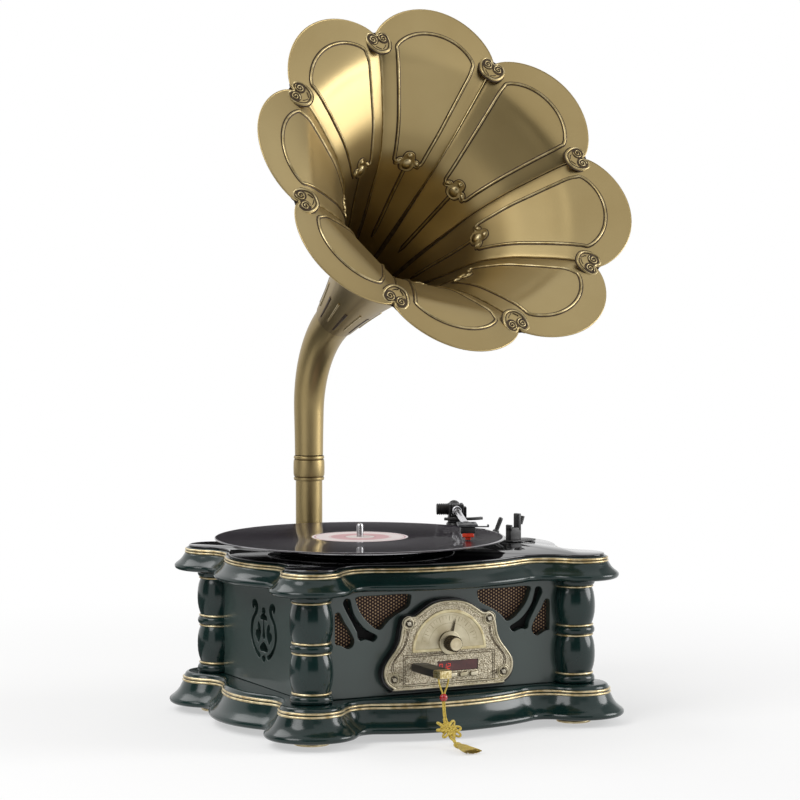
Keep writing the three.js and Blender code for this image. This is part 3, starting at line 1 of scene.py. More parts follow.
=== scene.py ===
# Retro record player: a serpentine lacquered cabinet on four turned columns, a deck with its record
# and tonearm, a tuner front, a USB stick on a tasselled lanyard, and a petal horn of antique brass.
# Places are in millimetres from the middle of the four columns, on the floor.
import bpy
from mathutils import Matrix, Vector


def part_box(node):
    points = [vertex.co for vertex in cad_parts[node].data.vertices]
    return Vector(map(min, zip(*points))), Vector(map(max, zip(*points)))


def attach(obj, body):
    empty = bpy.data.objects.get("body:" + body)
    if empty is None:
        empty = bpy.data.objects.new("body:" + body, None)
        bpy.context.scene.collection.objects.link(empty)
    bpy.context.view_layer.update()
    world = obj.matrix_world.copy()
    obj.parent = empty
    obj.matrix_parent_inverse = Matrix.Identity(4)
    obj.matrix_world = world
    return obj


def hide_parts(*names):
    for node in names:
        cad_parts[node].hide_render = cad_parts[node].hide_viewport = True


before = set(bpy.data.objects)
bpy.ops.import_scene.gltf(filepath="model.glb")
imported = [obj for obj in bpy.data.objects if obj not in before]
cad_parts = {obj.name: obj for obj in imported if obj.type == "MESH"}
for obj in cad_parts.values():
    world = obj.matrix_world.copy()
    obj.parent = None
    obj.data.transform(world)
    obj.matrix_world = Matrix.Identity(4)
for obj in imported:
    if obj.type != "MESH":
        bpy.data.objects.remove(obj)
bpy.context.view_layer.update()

import math
from contextlib import contextmanager

import bmesh
import bpy
from mathutils import Matrix, Vector

# The camera stands low at the front left, as for a catalogue picture. The floor is a wide pale sheet
# of paper: it keeps the shadow near the feet and turns to plain white further out.
foot_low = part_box("foot_fl")[0]
foot_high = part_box("foot_rr")[1]
middle_x = (foot_low[0] + foot_high[0]) / 2
middle_y = (foot_low[1] + foot_high[1]) / 2
camera_place = (-1345.9, -2668.2, 509.2)
camera_view = (0.4515, 0.8903, -0.0593)
camera_lens = 129
floor_radius = 3.4
floor_shadow_near = 0.42
floor_shadow_far = 1.1
floor_colour = (0.82, 0.82, 0.82, 1)


def at(x, y, z):
    """A place in millimetres from the middle of the columns, in the frame's metres."""
    return Vector((x / 1000 + middle_x, y / 1000 + middle_y, z / 1000))


def deselect():
    """Leave edit mode and let go of everything, so that the next operator acts on one piece."""
    if bpy.context.object and bpy.context.object.mode != "OBJECT":
        bpy.ops.object.mode_set(mode="OBJECT")
    bpy.ops.object.select_all(action="DESELECT")


@contextmanager
def whole_mesh():
    """Edit mode with all of the active piece's mesh selected."""
    bpy.ops.object.mode_set(mode="EDIT")
    bpy.ops.mesh.select_all(action="SELECT")
    yield
    bpy.ops.object.mode_set(mode="OBJECT")


def node(tree, kind, sockets=None, **settings):
    """A shader node. Its sockets get a value or another node's output; its settings are attributes."""
    made = tree.nodes.new("ShaderNode" + kind)
    for name, value in settings.items():
        setattr(made, name, value)
    for key, value in (sockets or {}).items():
        if isinstance(value, bpy.types.NodeSocket):
            tree.links.new(value, made.inputs[key])
        else:
            made.inputs[key].default_value = value
    return made


def sum_of(tree, operation, first, second=None, **settings):
    """One arithmetic node on an output and another output or a value."""
    sockets = {0: first} if second is None else {0: first, 1: second}
    return node(tree, "Math", sockets, operation=operation, **settings).outputs[0]


def seen_rays(tree):
    """One for camera, mirrored and transmitted rays, and nought for the others."""
    ray = node(tree, "LightPath").outputs
    seen = sum_of(tree, "ADD", ray["Is Camera Ray"], ray["Is Glossy Ray"])
    return sum_of(tree, "ADD", seen, ray["Is Transmission Ray"], use_clamp=True)


deselect()
view_turn = Vector(camera_view).to_track_quat("-Z", "Y").to_euler()
bpy.ops.object.camera_add(location=at(*camera_place), rotation=view_turn)
camera = bpy.context.object
camera.name = "catalogue_camera"
camera.data.lens = camera_lens
bpy.context.scene.camera = camera
bpy.context.scene.view_settings.view_transform = "Standard"

deselect()
bpy.ops.mesh.primitive_circle_add(vertices=96, radius=floor_radius, fill_type="NGON", location=(0, 0, 0))
floor = bpy.context.object
floor.name = "paper_floor"
with whole_mesh():
    bpy.ops.mesh.inset(thickness=floor_radius * 0.4)
paper = bpy.data.materials.new("white_paper")
paper.use_nodes = True
tree = paper.node_tree
tree.nodes.clear()
lit_paper = node(tree, "BsdfDiffuse", {"Color": floor_colour})
half_paper = node(tree, "BsdfDiffuse", {"Color": (0.5, 0.5, 0.5, 1)})
half_glow = node(tree, "Emission", {"Strength": 0.5})
near_paper = node(tree, "AddShader", {0: half_paper.outputs[0], 1: half_glow.outputs[0]})
place = node(tree, "TexCoord")
distance = node(tree, "VectorMath", {0: place.outputs["Object"]}, operation="LENGTH")
fade = node(tree, "MapRange", {
    "Value": distance.outputs["Value"], "From Min": floor_shadow_near, "From Max": floor_shadow_far,
}, interpolation_type="SMOOTHSTEP")
by_distance = node(tree, "MixShader", {
    "Fac": fade.outputs["Result"], 1: near_paper.outputs[0], 2: node(tree, "Emission").outputs[0],
})
by_ray = node(tree, "MixShader", {
    "Fac": seen_rays(tree), 1: lit_paper.outputs[0], 2: by_distance.outputs[0],
})
node(tree, "OutputMaterial", {"Surface": by_ray.outputs[0]})
floor.data.materials.append(paper)

# The room is white for whatever is seen or mirrored, and less than half as bright as a light.
world = bpy.data.worlds.new("white_room")
bpy.context.scene.world = world
world.use_nodes = True
tree = world.node_tree
background = tree.nodes["Background"]
background.inputs["Color"].default_value = (1, 1, 1, 1)
level = node(tree, "MapRange", {"Value": seen_rays(tree), "To Min": 0.45, "To Max": 1.0})
tree.links.new(level.outputs["Result"], background.inputs["Strength"])

# Three soft lamps, and grey cards that only shiny surfaces see, as a photographer sets them round
# polished brass and black gloss so that they don't mirror the white room all over.
lamps = [
    ("key_softbox", (-1900, -500, 1700), (0, 0, 420), 1.5, 26),
    ("side_softbox", (1900, -894, 772), (0, 0, 480), 1.3, 25),
    ("top_softbox", (-900, 1500, 2100), (0, 0, 300), 1.4, 12),
]
cards = [
    ("rear_card", (1023, 2337, 420), (0, 0, 300), (0.68, 1.3), 0.015),
    ("right_rear_card", (2130, 530, 1640), (0, 0, 550), (2.2, 1.8), 0.45),
    ("left_card", (-2500, 500, 700), (0, 0, 300), (1.8, 2.4), 0.10),
    ("camera_card", (-1000, -3100, 1000), (0, 0, 300), (3.4, 3.2), 0.04),
    ("upper_left_card", (-1500, -1300, 1750), (0, 0, 550), (2.0, 1.6), 0.45),
    ("floor_card", (-560, 880, 3), (-560, 880, 900), (0.9, 1.3), 0.12),
]
for name, where, target, size, power in lamps:
    deselect()
    turn = (at(*target) - at(*where)).to_track_quat("-Z", "Y").to_euler()
    bpy.ops.object.light_add(type="AREA", location=at(*where), rotation=turn)
    lamp = bpy.context.object
    lamp.name = name
    lamp.data.shape = "DISK"
    lamp.data.size = size
    lamp.data.energy = power
for name, where, target, size, grey in cards:
    deselect()
    turn = (at(*target) - at(*where)).to_track_quat("Z", "Y").to_euler()
    bpy.ops.mesh.primitive_plane_add(size=1, location=at(*where), rotation=turn)
    card = bpy.context.object
    card.name = name
    card.scale = (*size, 1)
    board = bpy.data.materials.new(name)
    board.use_nodes = True
    tree = board.node_tree
    tree.nodes.clear()
    glow = node(tree, "Emission", {"Color": (grey, grey, grey, 1)})
    node(tree, "OutputMaterial", {"Surface": glow.outputs[0]})
    card.data.materials.append(board)
    card.visible_camera = False
    card.visible_diffuse = False
    card.visible_shadow = False
    card.visible_transmission = False

# The lanyard hangs from the USB stick's cap in two thin yellow cords. Both run through a red bead,
# on to the flower knot that lies against the floor in front of the base.
stick_x = -35
stick_z = 70.5
stick_end = -172.6
cap_middle = -178.6
eye_aside = 5.4
cord_thick = 1.7
bead_z = 47.2
knot_middle = (stick_x, -189.98, 17.3)
knot_tilt = math.radians(48)


def spline_spot(a, b, c, d, t):
    """A place between the middle two of four points, on the smooth line through them."""
    return 0.5 * (
        2 * b + (c - a) * t + (2 * a - 5 * b + 4 * c - d) * t ** 2
        + (3 * b - a - 3 * c + d) * t ** 3
    )


def smooth_line(points, steps):
    """More points on the smooth line through some points."""
    points = [Vector(p) for p in points]
    last = len(points) - 1
    line = []
    for i in range(last):
        near = [points[min(max(i + k, 0), last)] for k in (-1, 0, 1, 2)]
        line += [spline_spot(*near, k / steps) for k in range(steps)]
    return line + [points[-1]]


def around(steps, turn=2 * math.pi):
    """The cosine and sine of even steps round a turn."""
    return [(math.cos(turn * k / steps), math.sin(turn * k / steps)) for k in range(steps)]


def curve_piece(name, lines, closed=False, dimensions="3D", **settings):
    """A curve object of one or more lines; its settings are the curve's attributes."""
    curve = bpy.data.curves.new(name, "CURVE")
    curve.dimensions = dimensions
    for attribute, value in settings.items():
        setattr(curve, attribute, value)
    for line in lines:
        spline = curve.splines.new("POLY")
        spline.points.add(len(line) - 1)
        spline.use_cyclic_u = closed
        for point, spot in zip(spline.points, line):
            point.co = (*spot, 1)
    piece = bpy.data.objects.new(name, curve)
    bpy.context.collection.objects.link(piece)
    return piece


def cord_piece(name, points, thick, closed=False):
    """A cord: one line of places, with a round section so many millimetres thick."""
    return curve_piece(
        name, [points], closed, bevel_depth=thick / 2000, bevel_resolution=4, use_fill_caps=True,
    )


def pick(piece):
    """Leave one piece selected and active."""
    deselect()
    piece.select_set(True)
    bpy.context.view_layer.objects.active = piece


def as_mesh(piece):
    pick(piece)
    bpy.ops.object.convert(target="MESH")
    return bpy.context.object


def corded(name, points, thick, material=None, closed=False):
    """A cord turned into a mesh, closed to a ring if wanted."""
    return coated(as_mesh(cord_piece(name, points, thick, closed)), material)


def coated(piece, *materials):
    for material in materials:
        if material:
            piece.data.materials.append(material)
    return piece


strand_routes = {}
for hand, side in (("left", -1), ("right", 1)):
    strand_routes[hand] = smooth_line([at(stick_x + side * aside, y, z) for aside, y, z in (
        (eye_aside, cap_middle, 66.0), (5.1, cap_middle, 62.5), (3.6, cap_middle, 57.5),
        (1.5, cap_middle, 52.5), (0.9, cap_middle, 48.5), (0.9, cap_middle - 0.1, 43),
        (0.9, cap_middle - 0.9, 37), (0.9, cap_middle - 2.0, 30.5), (1.1, cap_middle - 4.2, 25.5),
        (1.3, -187.6, 19.4), (1.3, -193.6, 14.0), (1.1, -199.2, 9.2), (0.9, -203.4, 6.0),
        (0.9, -208.4, 4.7),
    )], 3)


def plain_finish(name, colour, roughness, **inputs):
    """A Principled shader with its settings on its own sockets."""
    material = bpy.data.materials.new(name)
    material.use_nodes = True
    shader = material.node_tree.nodes["Principled BSDF"]
    shader.inputs["Base Color"].default_value = (*colour, 1)
    shader.inputs["Roughness"].default_value = roughness
    for socket, value in inputs.items():
        shader.inputs[socket.replace("_", " ")].default_value = value
    return material


def feed(tree, output, socket):
    """Link an output to a socket of the finish's shader."""
    tree.links.new(output, tree.nodes["Principled BSDF"].inputs[socket])


def colour_ramp(tree, driver, stops, interpolation="LINEAR"):
    """A ramp of colours from rows of [position, colour]."""
    ramp = node(tree, "ValToRGB", {"Fac": driver})
    ramp.color_ramp.interpolation = interpolation
    elements = ramp.color_ramp.elements
    for i, (position, colour) in enumerate(stops):
        element = elements[i] if i < 2 else elements.new(position)
        element.position = position
        element.color = (*colour, 1)
    return ramp.outputs["Color"]


def finish(name, dark, light, scale, roughness, metallic=0.0, span=(0.35, 0.65), **inputs):
    """A finish of soft clouds between two colours, with a roughness that wanders with them."""
    middle = [(a + b) / 2 for a, b in zip(dark, light)]
    material = plain_finish(name, middle, sum(roughness) / 2, Metallic=metallic, **inputs)
    tree = material.node_tree
    place = node(tree, "TexCoord").outputs["Object"]
    clouds = node(tree, "TexNoise", {"Vector": place, "Scale": scale, "Detail": 5}).outputs["Fac"]
    wander = node(tree, "MapRange", {"Value": clouds, "To Min": roughness[0], "To Max": roughness[1]})
    feed(tree, colour_ramp(tree, clouds, zip(span, (dark, light))), "Base Color")
    feed(tree, wander.outputs["Result"], "Roughness")
    return material


def grain(material, scale, strength, depth, detail=3):
    """A fine relief on the surface, such as brushed metal, moulded plastic or a sand casting."""
    tree = material.node_tree
    place = node(tree, "TexCoord").outputs["Object"]
    fine = node(tree, "TexNoise", {"Vector": place, "Scale": scale, "Detail": detail}).outputs["Fac"]
    relief = node(tree, "Bump", {"Strength": strength, "Distance": depth, "Height": fine})
    feed(tree, relief.outputs["Normal"], "Normal")


def drawn_out(name, rings, closed=False):
    """A skin drawn out of one circle: each ring is extruded from the last and set to its shape. Both
    ends are filled, or the last ring is bridged to the first."""
    deselect()
    bpy.ops.mesh.primitive_circle_add(vertices=len(rings[0]), radius=1)
    piece = bpy.context.object
    piece.name = piece.data.name = name
    bpy.ops.object.mode_set(mode="EDIT")
    bpy.ops.mesh.select_mode(type="VERT")
    mesh = bmesh.from_edit_mesh(piece.data)
    mesh.verts.ensure_lookup_table()
    for vert, spot in zip(mesh.verts, rings[0]):
        vert.co = spot
    count = len(rings[0])
    bpy.ops.mesh.select_all(action="SELECT")
    for ring in rings[1:]:
        bpy.ops.mesh.extrude_region_move()
        mesh = bmesh.from_edit_mesh(piece.data)
        mesh.verts.ensure_lookup_table()
        for vert, spot in zip(mesh.verts[-count:], ring):
            vert.co = spot
    bmesh.update_edit_mesh(piece.data)
    ends = [set(range(count)), set(range(len(mesh.verts) - count, len(mesh.verts)))]
    for chosen in ([ends[0] | ends[1]] if closed else ends):
        bpy.ops.mesh.select_all(action="DESELECT")
        mesh = bmesh.from_edit_mesh(piece.data)
        for edge in mesh.edges:
            both = {vert.index for vert in edge.verts}
            if both <= chosen and (both <= ends[0] or both <= ends[1]):
                edge.select_set(True)
        bmesh.update_edit_mesh(piece.data)
        if closed:
            bpy.ops.mesh.bridge_edge_loops()
        else:
            bpy.ops.mesh.edge_face_add()
    bpy.ops.mesh.select_all(action="SELECT")
    bpy.ops.mesh.normals_make_consistent(inside=False)
    bpy.ops.object.mode_set(mode="OBJECT")
    return piece


def smoothed(piece, angle=40):
    pick(piece)
    bpy.ops.object.shade_smooth_by_angle(angle=math.radians(angle))
    return piece


def fitted(piece, body, material, slot, *nodes):
    """Hand a finished piece to its body, with its finish, and hide the nodes it stands for. The slot is
    not used.
    """
    coated(piece, *(material if isinstance(material, list) else [material]))
    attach(piece, body)
    if nodes:
        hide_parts(*nodes)
    return piece


def turned(name, profile, centre, sides=64, axis="Z", to_place=at):
    """A piece turned on the lathe: rings of [radius, height] round an axis."""
    rings = []
    for radius, height in profile:
        ring = []
        for c, s in around(sides):
            a, b = radius * c, radius * s
            step = {"Z": (a, b, height), "Y": (a, height, b), "X": (height, a, b)}[axis]
            ring.append(to_place(*(centre[i] + step[i] for i in range(3))))
        rings.append(ring)
    return drawn_out(name, rings)


def joined(name, pieces):
    pick(pieces[0])
    for piece in pieces:
        piece.select_set(True)
    if len(pieces) > 1:
        bpy.ops.object.join()
    whole = bpy.context.object
    whole.name = whole.data.name = name
    return whole


yellow_cord = finish(
    "yellow_gold_cord", (0.42, 0.27, 0.012), (0.80, 0.62, 0.09), 900, (0.5, 0.75), Sheen_Weight=0.4,
)
grain(yellow_cord, 2600, 0.6, 0.0004)
red_bead = finish(
    "red_glass_bead", (0.30, 0.003, 0.008), (0.52, 0.012, 0.02), 260, (0.08, 0.18), Coat_Weight=0.6,
)

for hand, route in strand_routes.items():
    strand = cord_piece(f"lanyard_strand_{hand}", route, cord_thick)
    fitted(strand, "stick", yellow_cord, "cord", "lanyard")

bead_rings = []
for k in range(1, 16):
    lean = math.pi * k / 16
    bead_rings.append((4.0 * math.sin(lean), -4.0 * math.cos(lean)))
bead = smoothed(turned("lanyard_red_bead", bead_rings, (stick_x, cap_middle, bead_z), 32), 60)
fitted(bead, "stick", red_bead, "bead", "lanyard_bead")

# The flower knot is one cord laid in eight loops round a woven middle, drawn tight into a flat disc
# about 29 mm across.
lay = Matrix.Rotation(math.pi / 2 - knot_tilt, 4, "X")


def on_knot(x, y, z):
    return at(*(Vector(knot_middle) + lay @ Vector((x, y, z))))


loops = 8
loop_line = []
for k in range(loops * 16):
    angle = 2 * math.pi * k / (loops * 16)
    reach = 9.2 + 3.9 * math.cos(loops * angle)
    lift = 1.1 * math.sin(loops * angle)
    loop_line.append(on_knot(reach * math.cos(angle), reach * math.sin(angle), lift))
knot_parts = [corded("knot_loops", loop_line, 2.4, closed=True)]
slant = 0.7071
for layer in (-1, 1):
    for k in range(4):
        shift = (k - 1.5) * 2.6
        for way in (0, 1):
            weave = []
            for step in range(13):
                run = -7.4 + step * 14.8 / 12
                over = layer * 0.9 + 0.7 * math.cos(math.pi * (step / 1.5 + k + way))
                x, y = (run, shift) if way else (shift, run)
                weave.append(on_knot((x - y) * slant, (x + y) * slant, over))
            knot_parts.append(corded("knot_weave", smooth_line(weave, 2), 2.1))
knot = fitted(joined("flower_knot", knot_parts), "stick", yellow_cord, "cord", "lanyard_knot")

# The tassel lies on the floor: a cap wound round the cords' ends, and fine threads that spread from
# it into a flat fan.
tassel_start = -204.5
stem = smooth_line([at(*p) for p in (
    (stick_x, -200.2, 8.2), (stick_x, -202.4, 6.2), (stick_x, -205.5, 5.0), (stick_x, -208, 4.6),
)], 4)
tassel_parts = [corded("tassel_stem", stem, 2.4)]
for k in range(7):
    along = tassel_start - 1.2 - k * 1.15
    wide = 2.6 + 0.5 * math.sin(math.pi * k / 6)
    wrap = [at(stick_x + wide * c, along, 4.4 + 0.82 * wide * s) for c, s in around(20)]
    tassel_parts.append(corded("tassel_wrap", wrap, 1.3, closed=True))
thread_count, thread_steps = 170, 7
golden_turn = math.pi * (3 - math.sqrt(5))
threads = []
for k in range(thread_count):
    share = math.sqrt((k + 0.5) / thread_count)
    angle = k * golden_turn
    across, up = share * math.cos(angle), share * math.sin(angle)
    thread = []
    for step in range(thread_steps + 1):
        t = step / thread_steps
        spread = 2.5 + 6.6 * t ** 0.8
        height = 2.3 + 1.5 * math.sin(math.pi * min(t * 1.3, 1)) * 0.6
        ripple = 0.35 * math.sin(k * 2.1 + t * 6) * t
        x = stick_x + (across + ripple * 0.3) * spread
        z = max(0.7, 4.3 - 0.9 * t + up * height * (1 - 0.12 * t))
        long = 27.6 - 0.9 * abs(math.sin(k * 1.7))
        thread.append(at(x, tassel_start - 8.6 - t * long, z))
    threads.append(thread)
fan = curve_piece("tassel_threads", threads, bevel_depth=0.00036, bevel_resolution=1)
tassel_parts.append(as_mesh(fan))
tassel = fitted(joined("thread_tassel", tassel_parts), "stick", yellow_cord, "cord", "tassel")

# Both boards share one serpentine outline: a lobe round each column, a shallow bulge between lobes,
# and a straight rear edge. The outline is walked as circles that touch one another.
lobe = (152.6, 121.6, 31.5)
front_bulge = (0, 38.0, 184)
side_bulge = (84.2, 0, 101)
front_hollow, side_hollow, rear_hollow = 35, 38, 22.5
rear_edge = 126.0


def touching(a, b, radius, outward):
    """The middle of a circle that touches two others, on their outer side."""
    reach_a, reach_b = a[2] + radius, b[2] + radius
    dx, dy = b[0] - a[0], b[1] - a[1]
    apart = math.hypot(dx, dy)
    along = (reach_a ** 2 - reach_b ** 2 + apart ** 2) / (2 * apart)
    aside = math.sqrt(reach_a ** 2 - along ** 2)
    spots = []
    for s in (1, -1):
        x = a[0] + (along * dx - s * aside * dy) / apart
        y = a[1] + (along * dy + s * aside * dx) / apart
        spots.append((x, y, radius))
    return max(spots, key=outward)


front_lobe = (lobe[0], -lobe[1], lobe[2])
front_saddle = touching(front_lobe, front_bulge, front_hollow, lambda c: -c[1])
side_saddle = touching(front_lobe, side_bulge, side_hollow, lambda c: c[0])
rear_rise = rear_edge + rear_hollow - lobe[1]
rear_away = math.sqrt((lobe[2] + rear_hollow) ** 2 - rear_rise ** 2)
rear_saddle = (lobe[0] - rear_away, lobe[1] + rear_rise, rear_hollow)


def flip(circle, sx, sy):
    return (sx * circle[0], sy * circle[1], circle[2])


walk = [
    (flip(front_lobe, -1, 1), False, 26), (flip(front_saddle, -1, 1), True, 12),
    (front_bulge, False, 40), (front_saddle, True, 12), (front_lobe, False, 26),
    (side_saddle, True, 12), (side_bulge, False, 30), (flip(side_saddle, 1, -1), True, 12),
    (lobe, False, 26), (rear_saddle, True, 10), (flip(rear_saddle, -1, 1), True, 10),
    (flip(lobe, -1, 1), False, 26), (flip(side_saddle, -1, -1), True, 12),
    (flip(side_bulge, -1, 1), False, 30), (flip(side_saddle, -1, 1), True, 12),
]


def board_outline(offset, height):
    """The outline, moved outwards by an offset, as places at one height."""
    places = []
    for i, (circle, hollow, steps) in enumerate(walk):
        before, after = walk[i - 1][0], walk[(i + 1) % len(walk)][0]
        start = math.atan2(before[1] - circle[1], before[0] - circle[0])
        end = math.atan2(after[1] - circle[1], after[0] - circle[0])
        comes_straight, leaves_straight = i == 10, i == 9
        start = -math.pi / 2 if comes_straight else start
        end = -math.pi / 2 if leaves_straight else end
        sweep = -((start - end) % (2 * math.pi)) if hollow else (end - start) % (2 * math.pi)
        radius = circle[2] - offset if hollow else circle[2] + offset
        for k in range(0 if comes_straight else 1, steps + 1):
            angle = start + sweep * k / steps
            places.append(at(
                circle[0] + radius * math.cos(angle), circle[1] + radius * math.sin(angle), height,
            ))
    return places


def paint(piece, index, chosen):
    """Give the faces whose middle passes the test another of the piece's finishes."""
    for face in piece.data.polygons:
        if chosen(face.center):
            face.material_index = index


def gilded(piece, *spans):
    """Gild a lacquered piece between pairs of heights."""
    paint(piece, 1, lambda c: any(low < c.z * 1000 < high for low, high in spans))
    return coated(piece, lacquer, gilt_line)


def moulded_board(name, profile):
    """A board with its moulded edge, from rows of [how far outside the outline, height]."""
    return smoothed(drawn_out(name, [board_outline(*row) for row in profile]), 50)


# Lower board: wood with a deep green gloss lacquer, a rounded lip, a long cove and two gilt beads
# under the step that the columns stand on.
lacquer = finish(
    "green_lacquer", (0.0035, 0.015, 0.0135), (0.006, 0.024, 0.0215), 14, (0.14, 0.22),
    Coat_Weight=0.12, Coat_Roughness=0.06, Specular_IOR_Level=0.4,
)
grain(lacquer, 90, 0.03, 0.0005)
gilt_line = finish("gilt_line", (0.44, 0.33, 0.16), (0.82, 0.71, 0.46), 120, (0.24, 0.42), 0.85)
lower_profile = [
    (11.5, 8.0), (14.0, 8.5), (15.6, 9.8), (16.2, 11.6), (15.9, 13.2), (14.3, 15.0), (11.8, 16.8),
    (9.4, 18.8), (7.2, 21.2), (5.5, 23.6), (4.2, 26.0), (3.1, 28.3), (2.3, 30.0), (1.7, 31.2),
    (1.8, 31.4), (2.3, 31.9), (2.5, 32.6), (2.2, 33.3), (1.4, 33.7), (1.0, 34.1), (1.0, 34.5),
    (1.5, 34.9), (2.0, 35.5), (2.0, 36.2), (1.5, 36.8), (0.7, 37.1), (0.1, 37.4), (-0.3, 38.3),
    (-0.9, 39.6), (-2.0, 40.7), (-3.2, 41.3), (-4.6, 41.5),
]
lower_board = gilded(moulded_board("lower_board", lower_profile), (31.4, 33.7), (34.9, 37.1))
fitted(lower_board, "player", [], "lacquer", "base_board")

# Feet: four turned wooden discs under the columns, lacquered like the cabinet. The edge that they
# stand on has a gilt rim.
column_x, column_y = 150.2, 116.6
corners = {
    "fl": (-column_x, -column_y, 0), "fr": (column_x, -column_y, 0),
    "rl": (-column_x, column_y, 0), "rr": (column_x, column_y, 0),
}
foot_profile = [
    (16.6, 0.0), (17.6, 0.2), (18.0, 0.8), (18.0, 2.2), (17.6, 2.8), (16.7, 3.0), (16.5, 3.6),
    (16.6, 7.7),
]
for corner, place in corners.items():
    foot = gilded(turned(f"rimmed_foot_{corner}", foot_profile, place, 48), (-1, 3))
    fitted(smoothed(foot, 50), "player", [], "foot", f"foot_{corner}")

# Bottom cover: a black plastic sheet that closes the service opening from below. Its node already
# has the right shape, so it only gets its finish.
black_plastic = finish("black_plastic", (0.009, 0.009, 0.010), (0.017, 0.017, 0.018), 60, (0.30, 0.46))
grain(black_plastic, 1400, 0.15, 0.0002)


def dressed(node_name, material):
    """A node whose shape is right gets a finish in every one of its slots."""
    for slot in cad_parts[node_name].material_slots:
        slot.material = material


dressed("bottom_cover", black_plastic)

# Columns: turned wood, a torus at each end, two full barrels with a torus between them, and a
# gilt ring beside each torus.
column_profile = [
    (19.6, 41.8), (20.8, 42.2), (21.4, 43.4), (21.6, 45.4), (21.4, 47.4), (20.6, 49.0),
    (19.3, 49.9), (18.8, 50.3), (19.2, 50.5), (19.9, 50.9), (20.2, 51.6), (20.0, 52.3),
    (19.3, 52.8), (18.7, 53.1), (18.8, 53.6), (19.6, 55.6), (20.6, 59.0), (21.4, 63.4),
    (21.8, 68.6), (21.8, 74.2), (21.4, 79.6), (20.6, 84.2), (19.6, 87.6), (18.8, 89.7),
    (18.6, 90.2), (19.1, 90.4), (19.8, 90.8), (20.0, 91.4), (19.6, 92.0), (19.0, 92.3),
    (19.4, 92.6), (20.6, 93.4), (21.3, 94.9), (21.4, 96.5), (21.2, 98.1), (20.4, 99.6),
    (19.3, 100.4), (19.1, 100.6), (19.5, 100.8), (20.0, 101.2), (20.1, 101.8), (19.7, 102.4),
    (19.0, 102.7), (18.7, 103.0), (18.9, 103.8), (19.7, 106.0), (20.7, 109.6), (21.5, 114.2),
    (21.8, 119.6), (21.7, 125.2), (21.2, 130.4), (20.4, 134.8), (19.4, 138.2), (18.7, 139.9),
    (18.6, 140.5), (19.1, 140.8), (19.9, 141.2), (20.1, 141.8), (19.8, 142.4), (19.1, 142.7),
    (19.5, 143.0), (20.7, 143.7), (21.4, 145.2), (21.5, 147.0), (21.2, 148.6), (20.4, 149.7),
]
column_rings = [(50.5, 52.8), (90.4, 92.3), (100.8, 102.7), (140.8, 142.7)]
for corner, place in corners.items():
    column = gilded(turned(f"turned_column_{corner}", column_profile, place, 80), *column_rings)
    fitted(smoothed(column, 55), "player", [], "lacquer", f"column_{corner}")

# Cabinet panels: green lacquered boards. The front one has three fretted openings on each side, and
# each side one has a lyre sawn through it.
cabinet_x = 152.0
cabinet_front = -114.0
cabinet_rear = 118.0
panel_low, panel_high = 41.8, 149.7
panel_thick = 9
large_fret = [
    (0.643, 0.938), (0.46, 0.938), (0.268, 0.934), (0.254, 0.88), (0.268, 0.827), (0.309, 0.791),
    (0.358, 0.757), (0.416, 0.705), (0.457, 0.646), (0.484, 0.625), (0.528, 0.652), (0.577, 0.713),
    (0.621, 0.789), (0.650, 0.882),
]
middle_fret = [
    (0.718, 0.928), (0.698, 0.914), (0.688, 0.862), (0.67, 0.783), (0.635, 0.707), (0.59, 0.641),
    (0.545, 0.601), (0.508, 0.574), (0.503, 0.549), (0.528, 0.518), (0.555, 0.528), (0.59, 0.542),
    (0.621, 0.534), (0.64, 0.555), (0.648, 0.612), (0.67, 0.669), (0.705, 0.757), (0.736, 0.838),
    (0.749, 0.885), (0.738, 0.92),
]
small_fret = [
    (0.787, 0.804), (0.771, 0.791), (0.74, 0.71), (0.705, 0.64), (0.679, 0.576), (0.67, 0.531),
    (0.683, 0.486), (0.71, 0.466), (0.736, 0.477), (0.763, 0.499), (0.793, 0.511), (0.806, 0.526),
    (0.808, 0.66), (0.808, 0.783),
]
lyre_arm = [
    (0.76, 0.83), (0.87, 0.91), (0.83, 0.965), (0.71, 0.995), (0.56, 0.99), (0.44, 0.94), (0.4, 0.87),
    (0.45, 0.79), (0.62, 0.71), (0.76, 0.6), (0.8, 0.47), (0.77, 0.35), (0.62, 0.24), (0.42, 0.16),
    (0.25, 0.12), (0.28, 0.06), (0.4, 0.07), (0.6, 0.13), (0.8, 0.24), (0.93, 0.36), (0.99, 0.48),
    (0.96, 0.59), (0.86, 0.69), (0.69, 0.78), (0.62, 0.85), (0.66, 0.89),
]
lyre_leaf = [
    (0.38, 0.65), (0.47, 0.59), (0.44, 0.52), (0.59, 0.49), (0.6, 0.41), (0.5, 0.36), (0.4, 0.31),
    (0.32, 0.34), (0.24, 0.41), (0.2, 0.5), (0.25, 0.59),
]
lyre_bud = [
    (0, 0.9), (0.12, 0.88), (0.14, 0.82), (0.1, 0.79), (0.22, 0.76), (0.25, 0.72), (0.21, 0.69),
    (0.06, 0.69), (0.06, 0.59), (0.08, 0.49), (0.11, 0.42), (0, 0.38),
]
lyre_heart = [(0, 0.335), (0.15, 0.3), (0.3, 0.23), (0.28, 0.185), (0.2, 0.175), (0, 0.18)]
lyre_tear = [(0, 0.12), (0.1, 0.1), (0.14, 0.065), (0.09, 0.02), (0, 0.005)]


def smooth_loop(points, steps=5):
    """A closed outline rounded through some points."""
    count = len(points)
    loop = []
    for i in range(count):
        near = [Vector(points[(i + k) % count]) for k in (-1, 0, 1, 2)]
        loop += [spline_spot(*near, k / steps) for k in range(steps)]
    return loop


def both_halves(points):
    return points + [(-x, y) for x, y in reversed(points) if x > 0]


